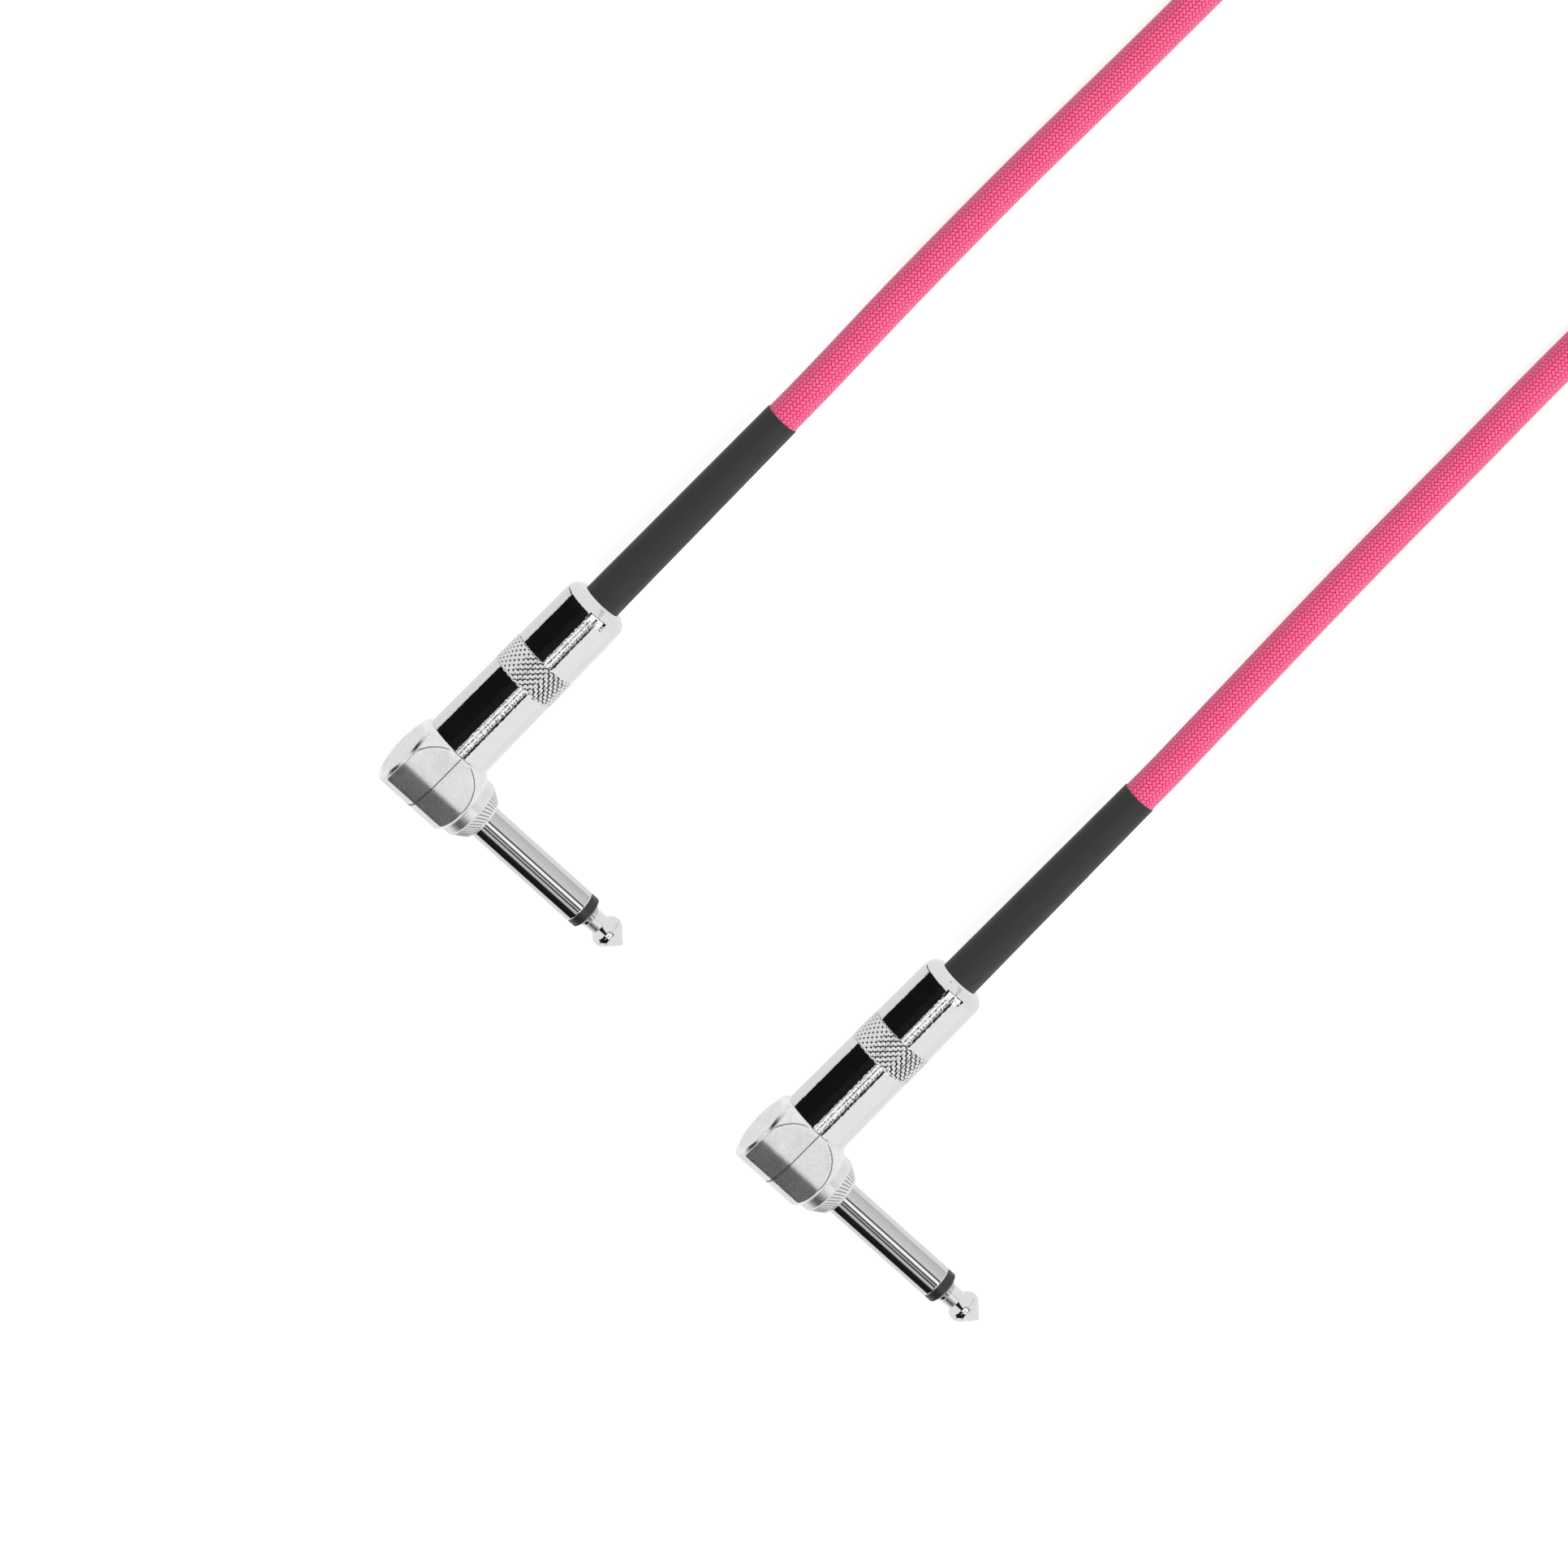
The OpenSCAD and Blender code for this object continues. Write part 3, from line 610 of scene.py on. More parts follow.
def tie_fabric():
    """Black hook-and-loop strap: short dense loops."""
    t = new_material("tie_fabric")
    loops = t.noise(STRAP_LOOPS, 4.0, 0.7)
    inputs = {"Vector": t.place(), "Scale": STRAP_WEAVE}
    weave = t.node("ShaderNodeTexVoronoi", inputs).outputs[0]
    return t.surface(
        Base_Color=t.colours(loops, rgb(0.008, 0.008, 0.009), rgb(0.045, 0.045, 0.048)),
        Roughness=0.85,
        Sheen_Weight=0.4,
        Sheen_Roughness=0.5,
        Normal=t.bump(t.minus(loops, t.times(weave, 0.6)), distance=0.0003),
    )


def plain(name, dark, light, roughness, metallic=0.0, depth=0.00001):
    """A plain stock material with a fine mottled tone, for pieces that mostly lie hidden."""
    t = new_material(name)
    mottle = t.noise(STOCK_MOTTLE, 3.0, 0.6)
    return t.surface(
        Base_Color=t.colours(mottle, rgb(*dark), rgb(*light)),
        Metallic=metallic,
        Roughness=t.between(mottle, *NOISE_RANGE, roughness * 0.85, roughness * 1.15),
        Normal=t.bump(mottle, depth, strength=0.5),
    )


TURNED = turned_nickel()
BLASTED = blasted_nickel()
PLATED = barrel_nickel()
MOULDED = moulded_black()
SHRUNK = shrunk_tube()
BRAID = braid()
STRAP = tie_fabric()
FIBRE = plain("pressed_fibre", (0.30, 0.18, 0.09), (0.48, 0.31, 0.17), 0.7)
BRASS = plain("stamped_brass", (0.66, 0.50, 0.24), (0.80, 0.66, 0.36), 0.3, 1.0)
CLEAR = plain("extruded_tube", (0.78, 0.78, 0.75), (0.88, 0.88, 0.85), 0.25)
COPPER = plain("bare_copper", (0.62, 0.31, 0.18), (0.80, 0.46, 0.30), 0.28, 1.0)
CORE = plain("core_insulation", (0.80, 0.80, 0.76), (0.90, 0.90, 0.86), 0.4)

# ---- the cord

COIL_AT = (277, 18.5)
COIL_R = 44.75
TURN_STEP = 6.75
LAYER_STEP = 6.7
COIL_TURNS = 11.5
LAYERS = 4
CLIMB_TURNS = 0.5
LEAN = 1.3
LAYER_TURNS = COIL_TURNS / LAYERS
COIL_INNER_R = COIL_R - LAYER_TURNS * TURN_STEP
RINGS_PER_TURN = 96
LEAD = CORD_D
ROUTE_A = list(zip(
    (*range(64, 260, 14), 256),
    (64.8, 64.8, 64.6, 64.4, 64.1, 63.8, 63.6, 63.5, 63.4, 63.4, *5 * (63.3,)),
    (6.1, 5, 3.9, 3.3, *6 * (3.1,), 3.2, 3.3, 3.5, 3.6, 3.7),
))
ROUTE_B = list(zip(
    range(56, 253, 14),
    (*6 * (-26.6,), -26.5, -26.5, -26.4, -26.4, *5 * (-26.3,)),
    (6.1, 5, 3.9, 3.3, 3.1, 3.1, 3.1, 3.5, 5.2, 8.4, 12.6, 16.8, 20.2, 22.6, 23.7),
))
ROUTE_STEP = 0.5
SHOWN_LENGTH = 130
SHOWN_STEP = 0.3
PLAIN_STEP = 1.6
PATH_STRIDE = 4
CORD_SIDES = 64


def rise(x):
    """Smooth rise from 0 to 1."""
    c = min(max(x, 0), 1)
    return c * c * (3 - 2 * c)


def coil_point(turns):
    """A point of the coil's line, as in the CAD: in and out by layers, leaning on the tie."""
    layer = min(int(turns // LAYER_TURNS), LAYERS - 1)
    run = turns - layer * LAYER_TURNS
    r = COIL_R - TURN_STEP * run if layer % 2 == 0 else COIL_INNER_R + TURN_STEP * run
    climbed = sum(rise((turns - j * LAYER_TURNS) / CLIMB_TURNS + 0.5) for j in range(1, LAYERS))
    angle = math.radians(90 - 360 * turns)
    height = CORD_D / 2 + LAYER_STEP * climbed + LEAN * (1 + math.cos(angle)) / 2
    return np.array((COIL_AT[0] + r * math.cos(angle), COIL_AT[1] + r * math.sin(angle), height))


def smooth_line(points, step):
    """A smooth curve through the points, sampled about every step."""
    p = np.asarray(points, float)
    padded_points = np.vstack((2 * p[0] - p[1], p, 2 * p[-1] - p[-2]))
    line = []
    for i in range(1, len(p)):
        a, b, c, d = padded_points[i - 1:i + 3]
        count = max(2, int(np.linalg.norm(c - b) / step))
        for t in np.arange(count) / count:
            line.append(0.5 * (
                2 * b + (c - a) * t + (2 * a - 5 * b + 4 * c - d) * t ** 2
                + (3 * b - a - 3 * c + d) * t ** 3
            ))
    return np.vstack((line, p[-1]))


def resampled(line, places):
    """The line's points at the given distances along it."""
    steps = np.linalg.norm(np.diff(line, axis=0), axis=1)
    along = np.concatenate(([0], np.cumsum(steps)))
    return np.stack([np.interp(places, along, line[:, k]) for k in range(3)], axis=1), along[-1]


def cord_line():
    """The cord's centreline in millimetres, from the first boot round the coil to the second."""
    reach = np.array((along_barrel("boot")[1], 0, 0))
    ends = {end: np.array(ORIGIN[end]) / MM + reach for end in PLUGS}
    start, stop = coil_point(0), coil_point(COIL_TURNS)
    ahead = np.array((LEAD, 0, 0))
    count = int(COIL_TURNS * RINGS_PER_TURN)
    coil = [coil_point(i * COIL_TURNS / count) for i in range(count + 1)]
    out = [ends["a"], ends["a"] + ahead, *ROUTE_A, start - 2 * ahead, start - ahead, start]
    back = [stop, stop - ahead, stop - 2 * ahead, *ROUTE_B[::-1], ends["b"] + ahead, ends["b"]]
    first, last = smooth_line(out, ROUTE_STEP), smooth_line(back, ROUTE_STEP)
    return ends, np.vstack((first[:-1], coil, last[1:]))


def cord_places(total):
    """How far along the cord its rings lie: close together where it shows."""
    near = np.arange(0, SHOWN_LENGTH, SHOWN_STEP)
    count = int((total - 2 * SHOWN_LENGTH) / PLAIN_STEP)
    middle = np.linspace(SHOWN_LENGTH, total - SHOWN_LENGTH, count)
    return np.concatenate((near, middle, total - near[::-1]))


def tube(centre):
    """Points and faces of the cord round its centreline, square to +X at both ends."""
    tangent = np.gradient(centre, axis=0)
    tangent[0] = (1, 0, 0)
    tangent[-1] = (-1, 0, 0)
    tangent /= np.linalg.norm(tangent, axis=1)[:, None]
    side = np.cross((0, 0, 1), tangent)
    side /= np.linalg.norm(side, axis=1)[:, None]
    up = np.cross(tangent, side)
    angles = 2 * math.pi * np.arange(CORD_SIDES) / CORD_SIDES - math.pi / 2
    cos, sin = np.cos(angles)[None, :, None], np.sin(angles)[None, :, None]
    points = centre[:, None] + CORD_D / 2 * (side[:, None] * cos + up[:, None] * sin)
    faces = ring_faces(len(centre), CORD_SIDES) + end_faces(len(centre), CORD_SIDES)
    return points.reshape(-1, 3), faces


def map_braid(mesh, places):
    """The braid's map: once round the cord across, and in stitches along it."""
    layer = mesh.uv_layers.new(name="braid_map")
    corner_vertex = np.empty(len(mesh.loops), int)
    mesh.loops.foreach_get("vertex_index", corner_vertex)
    column = corner_vertex % CORD_SIDES
    row = corner_vertex // CORD_SIDES
    wraps = np.zeros(len(corner_vertex), bool)
    for face in mesh.polygons:
        if face.loop_total == 4:
            corners = slice(face.loop_start, face.loop_start + 4)
            wraps[corners] = (column[corners] == 0) & (column[corners].max() == CORD_SIDES - 1)
    u = (column + CORD_SIDES * wraps) / CORD_SIDES
    v = places[row] * MM / STITCH
    layer.data.foreach_set("uv", np.stack((u, v), axis=1).astype(np.float32).ravel())


def make_cord():
    """One braided tube from plug to plug, finest where it shows."""
    ends, line = cord_line()
    total = resampled(line, [0.0])[1]
    places = cord_places(total)
    centre, _ = resampled(line, places)
    points, faces = tube(centre)
    piece = mesh_object("cord", points * MM, faces, sharp=60)
    map_braid(piece.data, places)
    face_outwards(piece)
    piece.data.materials.append(BRAID)
    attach(piece, "root")
    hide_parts("cord_a", "cord_b", "cord_coil")
    path = np.vstack((centre[::PATH_STRIDE], centre[-1:]))
    return piece, [tuple(p * MM) for p in path], total * MM, ends


CORD, CORD_PATH, CORD_LENGTH, CORD_ENDS = make_cord()

# ---- the finger's pieces


def make_tip():
    """Ball tip: neck, ball and cone, with the rod that carries it."""
    point_at = along_finger("tip")[1]
    ring_front = point_at - TIP_LEN
    ball_at = ring_front + BALL_AT
    ball_r, point_r, rod_r = BALL_D / 2, POINT_D / 2, ROD_D / 2
    neck_r, waist_r, collar_r = NECK_D / 2, WAIST_D / 2, COLLAR_D / 2
    undercut_r = neck_r - UNDERCUT
    collar_end = ring_front + COLLAR_LEN
    neck_meets = math.degrees(math.asin((waist_r - (ball_r - BALL_ROUND)) / BALL_ROUND))
    neck_from = collar_end + UNDERCUT_W
    neck_to = ball_at - BALL_ROUND * math.cos(math.radians(neck_meets))
    profile = [
        (along_finger("tip")[0], rod_r), (ring_front - HAIR, rod_r), (ring_front, rod_r + BROKEN),
        (ring_front, collar_r - BROKEN), (ring_front + BROKEN, collar_r),
        (collar_end - FINE, collar_r), (collar_end, collar_r - FINE),
        (collar_end + 0.03, undercut_r), (neck_from - 0.05, undercut_r),
        (neck_from, neck_r), (neck_to - HAIR, waist_r),
    ]
    profile += arc(ball_at, ball_r - BALL_ROUND, BALL_ROUND, neck_meets - 90, CONE_FROM, 24)
    profile += arc(point_at - point_r, 0, point_r, CONE_FROM, 84, 6)
    points, faces = lathe(held(profile), 128, wrap=False)
    for_each_plug("tip", turned_to_finger(points), faces, TURNED)
    mark("tip", "satin", lambda x, y, z: (-y > neck_from - 0.03) & (-y < neck_to + 0.05))


def make_insulator():
    """Black ring with a chamfered front."""
    ring_front = along_finger("tip")[1] - TIP_LEN
    ring_back = ring_front - RING_LEN
    tube_from = along_finger("tip_insulator")[0]
    bore_r = ROD_D / 2 + PRESS_GAP
    tube_r = FINGER_BORE_D / 2 - PRESS_GAP
    ring_r, front_r = FINGER_D / 2 - RING_STEP, RING_FRONT_D / 2
    back, front, chamfer = ring_back + SEAT_GAP, ring_front - SEAT_GAP, ring_front - RING_CHAMFER
    profile = [
        (tube_from, bore_r), (tube_from, tube_r), (back, tube_r), (back, ring_r - RING_ROUND),
    ]
    profile += arc(back + RING_ROUND, ring_r - RING_ROUND, RING_ROUND, -90, 0, 4)
    profile += [
        (chamfer - BROKEN, ring_r), (chamfer, ring_r - 0.05), (front - BROKEN, front_r + 0.08),
        (front, front_r - 0.05), (front, bore_r),
    ]
    points, faces = lathe(held(profile), 160)
    for_each_plug("tip_insulator", turned_to_finger(points), faces, MOULDED)


def rib_wave(at, radius, angle):
    """Slanted ribs round the flange's cone: where, how much, and 1 on a ridge, 0 between."""
    share = (at - CONE_AT) / FLANGE_CONE
    on_cone = (share > 0.02) & (share < 0.98) & (radius > FINGER_D / 2 + 0.5)
    fade = np.clip(np.minimum(share, 1 - share) * 8, 0, 1)
    turn = FLANGE_RIBS * angle / (2 * math.pi) + RIB_SLANT * share
    return on_cone, fade, 0.5 + 0.5 * np.cos(2 * math.pi * turn)


def cone_ribs(at, radius, angle):
    """The ribs as a relief."""
    on_cone, fade, ridge = rib_wave(at, radius, angle)
    return np.where(on_cone, fade * (RIB_HEIGHT * ridge - RIB_SINK), 0)


def rib_valley_shade(x, y, z):
    """How deep a point lies between the ribs, which sets how dark the shade painted there is."""
    on_cone, fade, ridge = rib_wave(-y, np.hypot(x, z), np.arctan2(-z, -x))
    return np.where(on_cone, fade * (1 - ridge) ** 2, 0)


def mark(name, attribute, rule):
    """Writes a value on each point of a piece, from its own millimetres, for its material."""
    for end in PLUGS:
        mesh = bpy.data.objects[f"{end}_{name}"].data
        places = np.array([v.co - ORIGIN[end] for v in mesh.vertices]) / MM
        values = rule(*places.T).astype(np.float32)
        mesh.attributes.new(attribute, "FLOAT", "POINT").data.foreach_set("value", values)


def make_finger():
    """Sleeve contact with its flange: plain rim, ribbed cone and bright nose."""
    rivet_at = along_finger("finger")[0]
    ring_back = along_finger("tip")[1] - TIP_LEN - RING_LEN
    rim_r, nose_r, finger_r, bore_r = FLANGE_D / 2, NOSE_D / 2, FINGER_D / 2, FINGER_BORE_D / 2
    profile = [(rivet_at, bore_r), (rivet_at, STUB_D / 2), (FLANGE_AT, STUB_D / 2)]
    profile += arc(FLANGE_AT + FLANGE_ROUND, rim_r - FLANGE_ROUND, FLANGE_ROUND, -90, 0, 5)
    profile += [(CONE_AT - 0.12, rim_r), (CONE_AT - FINE, rim_r - 0.03)]
    cone_r = rim_r - 0.06
    for share in np.arange(CONE_STEPS + 1) / CONE_STEPS:
        profile.append((CONE_AT + FLANGE_CONE * share, cone_r + (nose_r - cone_r) * share))
    profile += arc(NOSE_AT, nose_r - NOSE_ROUND, NOSE_ROUND, 10, 90, 6)
    root_at = NOSE_AT + NOSE_ROUND
    profile += [
        (root_at, finger_r + 0.12), (root_at - HAIR, finger_r + HAIR), (root_at, finger_r),
        (ring_back - BROKEN, finger_r), (ring_back - 0.03, finger_r - 0.03),
        (ring_back, finger_r - BROKEN), (ring_back, bore_r),
    ]
    points, faces = lathe(held(profile), FLANGE_RIBS * 10, cone_ribs)
    for_each_plug("finger", turned_to_finger(points), faces, TURNED)
    mark("finger", "satin", lambda x, y, z: (-y > FLANGE_AT - 0.1) & (-y < NOSE_AT + 0.12))
    # The valleys between the ribs are marked for painted shade.
    mark("finger", "rib_shade", rib_valley_shade)


# ---- the head

HEAD_SIDES = 480
EDGE_POWER = 90
# How wide and how strong the painted shade on the creases round the flats is.
CREASE_W = 0.1
CREASE_SHADE = 0.95
ROUND_STEPS = 6
FACE_RINGS = (0.9, 0.7, 0.45, 0.2)
CAP_SLICES = 62
BEVEL_SLICES = 16
BASE_SLICES = 65
BASE_ROUND = 0.12
THREAD_STEPS = 72
THREAD_START = 0.4
THREAD_DEPTH = 0.5
THREAD_FADE = 0.5
THREAD_END_DROP = 0.4
FAR_OUT = 20
TINY = 1e-6


def head_radius(angle, y):
    """The head's outside round the finger's axis, at a height y, with softly rounded edges.

    Each face gives a limit to the radius, and the least of them counts, blended over the edges.
    """
    half = HEAD_T / 2
    run, drop = FACET_END - FLAT_END, FACET_DROP
    size = math.hypot(run, drop)
    facet = np.array((-drop / size, run / size))
    facet_at = facet @ np.array((-FLAT_END, half))
    x, z = np.cos(angle), np.sin(angle)
    ball = HEAD_BALL_D / 2
    back_at = BACK_ROUND - HEAD_BACK
    inverse = [
        z / half, -z / half,
        (facet[0] * x + facet[1] * z) / facet_at, (facet[0] * x - facet[1] * z) / facet_at,
        x / SEAT_AT,
        1 / np.sqrt(np.maximum(ball ** 2 - y ** 2, TINY)) + 0 * x,
        1 / (back_at * x + np.sqrt(BACK_ROUND ** 2 - (back_at * z) ** 2)),
    ]
    rim_r = math.sqrt(ball ** 2 - (CAP_FACE - CAP_BEVEL) ** 2)
    slope = np.array((CAP_BEVEL, rim_r - CAP_DISC_D / 2))
    slope /= np.linalg.norm(slope)
    bevel_at = slope @ np.array((CAP_DISC_D / 2, CAP_FACE))
    inverse.append(slope[0] / np.maximum(bevel_at - slope[1] * y, TINY) + 0 * x)
    total = sum(np.maximum(k, 0) ** EDGE_POWER for k in inverse)
    return total ** (-1 / EDGE_POWER)


def head_half(slices, inner_y, end_y, soft):
    """One closed half: slices along the finger's axis, from the parting line to the end face."""
    angles = 2 * math.pi * np.arange(HEAD_SIDES) / HEAD_SIDES
    sign = 1 if end_y > 0 else -1
    lip = head_radius(angles, slices[0])
    rings = [
        (lip - GROOVE_DEPTH, inner_y), (lip - GROOVE_DEPTH, slices[0]), (lip - FINE, slices[0]),
    ]
    rings += [(head_radius(angles, y), y) for y in slices[1:]]
    rim = head_radius(angles, slices[-1])
    for step in range(1, ROUND_STEPS + 1):
        turn = math.radians(90 * step / ROUND_STEPS)
        rings.append((rim - soft * (1 - math.cos(turn)), slices[-1] + sign * soft * math.sin(turn)))
    flat = rings[-1][0]
    rings += [(flat * share, end_y) for share in FACE_RINGS]
    points = np.vstack([
        np.stack((r * np.cos(angles), 0 * r + y, r * np.sin(angles)), axis=1) for r, y in rings
    ])
    faces = ring_faces(len(rings), HEAD_SIDES) + end_fans(len(rings), HEAD_SIDES)
    return np.vstack((points, (0, inner_y, 0), (0, end_y, 0))), faces


def thread_relief(at, radius, angle):
    """A screw thread's ridges on the spigot, fading out over its last half millimetre."""
    turn = (at - THREAD_PITCH * angle / (2 * math.pi)) / THREAD_PITCH
    ridge = np.abs((turn % 1) - 0.5) * 2
    fade = np.clip((SEAT_AT + THREAD_LEN - at) / THREAD_FADE, 0, 1)
    on_thread = (at > SEAT_AT + THREAD_START) & (radius > THREAD_D / 2 - 0.05)
    groove = THREAD_DEPTH * np.clip(ridge * 1.25 - 0.15, 0, 1)
    return np.where(on_thread, -groove - THREAD_END_DROP * (1 - fade), 0)


def spigot():
    """The threaded spigot, whole."""
    places = [SEAT_AT + THREAD_LEN * i / THREAD_STEPS for i in range(THREAD_STEPS + 1)]
    profile = [(x, THREAD_D / 2) for x in (SEAT_AT - 0.3, *places)]
    return lathe(profile, 160, thread_relief, wrap=False)


def solid_box(low, high):
    """Points and faces of a box between two corners."""
    corners = list(itertools.product(*zip(low, high)))
    faces = [(0, 1, 3, 2), (4, 6, 7, 5), (0, 4, 5, 1), (2, 3, 7, 6), (0, 2, 6, 4), (1, 5, 7, 3)]
    return corners, faces


def points_and_faces(mesh):
    return [v.co[:] for v in mesh.vertices], [list(f.vertices) for f in mesh.polygons]


def combine(piece, points, faces, operation):
    """Cuts a closed mesh by another, or joins them, and drops the tool."""
    tool = closed_mesh("tool", points, faces)
    modifier = piece.modifiers.new("combine", "BOOLEAN")
    modifier.operation = operation
    modifier.solver = "MANIFOLD"
    modifier.object = tool
    bpy.context.view_layer.update()
    result = bpy.data.meshes.new_from_object(
        piece.evaluated_get(bpy.context.evaluated_depsgraph_get())
    )
    piece.modifiers.clear()
    piece.data = result
    bpy.data.objects.remove(tool)


def drill(piece, start, end, radius, turn=np.asarray):
    """Takes a round hole out of a piece, along the barrel, or where turn puts it."""
    points, faces = lathe([(start, radius), (end, radius)], 128, wrap=False)
    combine(piece, turn(points), faces, "DIFFERENCE")


def make_head_half(name, slices, inner_y, end_y, soft, keep_low, keep_high):
    """One half of the head, with its chamber and its half of the spigot."""
    piece = closed_mesh("half", *head_half(slices, inner_y, end_y, soft))
    half_spigot = closed_mesh("half_spigot", *spigot())
    half_space = solid_box((0, keep_low, -FAR_OUT), (FAR_OUT, keep_high, FAR_OUT))
    combine(half_spigot, *half_space, "INTERSECT")
    combine(piece, *points_and_faces(half_spigot.data), "UNION")
    bpy.data.objects.remove(half_spigot)
    drill(piece, CAP_WALL - CAP_FACE, BASE_FACE - BASE_WALL, CHAMBER_D / 2, turned_to_finger)
    drill(piece, 0, SEAT_AT + THREAD_LEN + 1, SPIGOT_BORE_D / 2)
    if end_y < 0:
        drill(piece, 0, BASE_FACE + 1, STUB_D / 2 + PRESS_GAP, turned_to_finger)
    points, faces = points_and_faces(piece.data)
    bpy.data.objects.remove(piece)
    for_each_plug(name, points, faces, BLASTED, sharp=30)


def head_line_shade(x, y, z):
    """Where shade is painted dark on the head: in the parting line, and faintly on the creases round
    the flats.
    """
    parting = np.abs(y + PARTING) < GROOVE_W / 2 + np.where(x < -FLAT_END, 0.1, 0.005)
    from_flat = np.abs(HEAD_T / 2 - np.abs(z))
    from_ball = np.abs(HEAD_BALL_D / 2 - np.sqrt(x ** 2 + y ** 2 + z ** 2))
    crease = CREASE_SHADE * np.clip(1.5 - np.maximum(from_flat, from_ball) / CREASE_W, 0, 1)
    return np.maximum(parting, crease)


def on_bevel(x, y, z):
    """The outer part of the cap's bevel."""
    return (y > CAP_FACE - 0.7 * CAP_BEVEL) & (y < CAP_FACE - 0.03)


def make_head():
    """Both halves, parted by a groove a little below the barrel's axis."""
    low = -PARTING + GROOVE_W / 2
    bevel = CAP_FACE - CAP_BEVEL - 0.02
    up_to_bevel = np.linspace(low + FINE, bevel, CAP_SLICES)
    slices = [low, *up_to_bevel, *np.linspace(bevel, CAP_FACE - FINE, BEVEL_SLICES)[1:]]
    inner = -PARTING + SEAT_GAP / 2
    make_head_half("head_cap", slices, inner, CAP_FACE, FINE, inner, FAR_OUT)
    high = -PARTING - GROOVE_W / 2
    slices = [high, *np.linspace(high - FINE, -BASE_FACE + BASE_ROUND, BASE_SLICES)]
    inner = -PARTING - SEAT_GAP / 2
    make_head_half("head_base", slices, inner, -BASE_FACE, BASE_ROUND, -FAR_OUT, inner)
    for name in ("head_cap", "head_base"):
        # The groove mark carries painted shade for the parting line and the creases.
        mark(name, "groove", head_line_shade)
        mark(name, "cut", on_bevel)


# ---- barrel and boot

WALL_STEPS = 12
BOOT_STEPS = 90
BOOT_WOBBLE = 0.012
WOBBLE_SPAN = 7


def knurl_waves(at, angle):
    """The share of the band's width, and two crossed waves, 0 in grooves and 1 on ridges."""
    share = (at - KNURL_FROM) / KNURL_W
    turn = KNURLS_ROUND * angle / (2 * math.pi)
    slant = KNURL_ROWS * share
    return share, *(np.abs((wave % 1) - 0.5) * 2 for wave in (turn + slant, turn - slant))


def knurl_relief(at, radius, angle):
    """Crossed grooves that leave a diamond point between them."""
    share, one, two = knurl_waves(at, angle)
    on_knurl = (share > 0) & (share < 1) & (radius > BARREL_BORE_D / 2 + 0.5)
    fade = np.clip(np.minimum(share, 1 - share) * 14, 0, 1)
    return np.where(on_knurl, fade * (KNURL_H + KNURL_DEPTH * (np.minimum(one, two) - 1)), 0)


def knurl_pit_shade(x, y, z):
    """The pits where two grooves of the knurl cross, painted dark as shade."""
    share, one, two = knurl_waves(x, np.arctan2(z, y))
    return np.where((share > 0.02) & (share < 0.98), np.clip((0.7 - one - two) / 0.3, 0, 1), 0)


def make_barrel():
    """Screwed barrel: slight taper, diamond knurl and a rounded cord end with a flat face."""
    bore_r, mouth_r, end_r = BARREL_BORE_D / 2, BARREL_D / 2, BARREL_END_D / 2
    taper = (end_r - mouth_r) / (BARREL_END - MOUTH_AT)
    shoulder = BARREL_END - BARREL_ROUND

    def wall(start, run, steps, skip):
        """Points on the taper, without as many at both ends as skip says."""
        places = [start + run * i / steps for i in range(skip, steps + 1 - skip)]
        return [(x, mouth_r + taper * (x - MOUTH_AT)) for x in places]

    profile = [
        (MOUTH_AT, bore_r), (MOUTH_AT, mouth_r - MOUTH_CHAMFER - 0.05),
        (MOUTH_AT + 0.05, mouth_r - MOUTH_CHAMFER + 0.03),
        (MOUTH_AT + MOUTH_CHAMFER - 0.05, mouth_r - 0.03), (MOUTH_AT + MOUTH_CHAMFER + 0.05, mouth_r),
    ]
    profile += wall(MOUTH_AT + 0.6, KNURL_AT - 0.7, WALL_STEPS, skip=1)
    profile += wall(KNURL_FROM, KNURL_W, round(KNURL_ROWS * KNURL_POINTS), skip=0)
    profile += wall(KNURL_TO, shoulder - KNURL_TO, WALL_STEPS, skip=1)
    profile += arc(shoulder, end_r - BARREL_ROUND, BARREL_ROUND, 0, 88, 20)
    hole_r = BOOT_D / 2 + RUN_GAP
    profile += [
        (BARREL_END, hole_r + 0.12), (BARREL_END - FINE, hole_r + 0.03), (BARREL_END - 0.12, hole_r),
        (BARREL_END - BARREL_WALL, hole_r), (BARREL_END - BARREL_WALL, bore_r),
    ]
    points, faces = lathe(held(profile), KNURLS_ROUND * KNURL_POINTS, knurl_relief)
    for_each_plug("barrel", points, faces, PLATED, sharp=50, moves=True)
    # The knurl's pits are marked for painted shade.
    mark("barrel", "pit_shade", knurl_pit_shade)


def make_boot():
    """Shrunk boot with a soft edge at the cord. The place of the maker's print is bare."""
    boot_from, boot_end = along_barrel("boot")
    bore_r = CORD_D / 2 + PRESS_GAP
    profile = [(boot_from, bore_r), (boot_from, BOOT_D / 2), (BARREL_END, BOOT_D / 2)]
    rng = np.random.default_rng(7)
    wobble = rng.normal(0, BOOT_WOBBLE, BOOT_STEPS + 1)
    wobble = np.convolve(wobble, np.ones(WOBBLE_SPAN) / WOBBLE_SPAN, mode="same")
    for i in range(1, BOOT_STEPS):
        share = i / BOOT_STEPS
        x = BARREL_END + (boot_end - BARREL_END - 0.15) * share
        profile.append((x, (BOOT_D + (BOOT_END_D - BOOT_D) * share) / 2 + wobble[i]))
    profile += arc(boot_end - BROKEN, BOOT_END_D / 2 - BROKEN, BROKEN, 0, 90, 5)
    profile += [(boot_end, bore_r)]
    points, faces = lathe(profile, 128)
    for_each_plug("boot", points, faces, SHRUNK)


def hide_from_metal():
    """The metal mirrors only the cards: the photograph shows no piece mirrored in another."""
    for piece in bpy.context.scene.objects:
        piece.visible_glossy = False


make_tip()
make_insulator()
make_finger()
make_head()
make_barrel()
make_boot()
hide_from_metal()

# ---- the tie


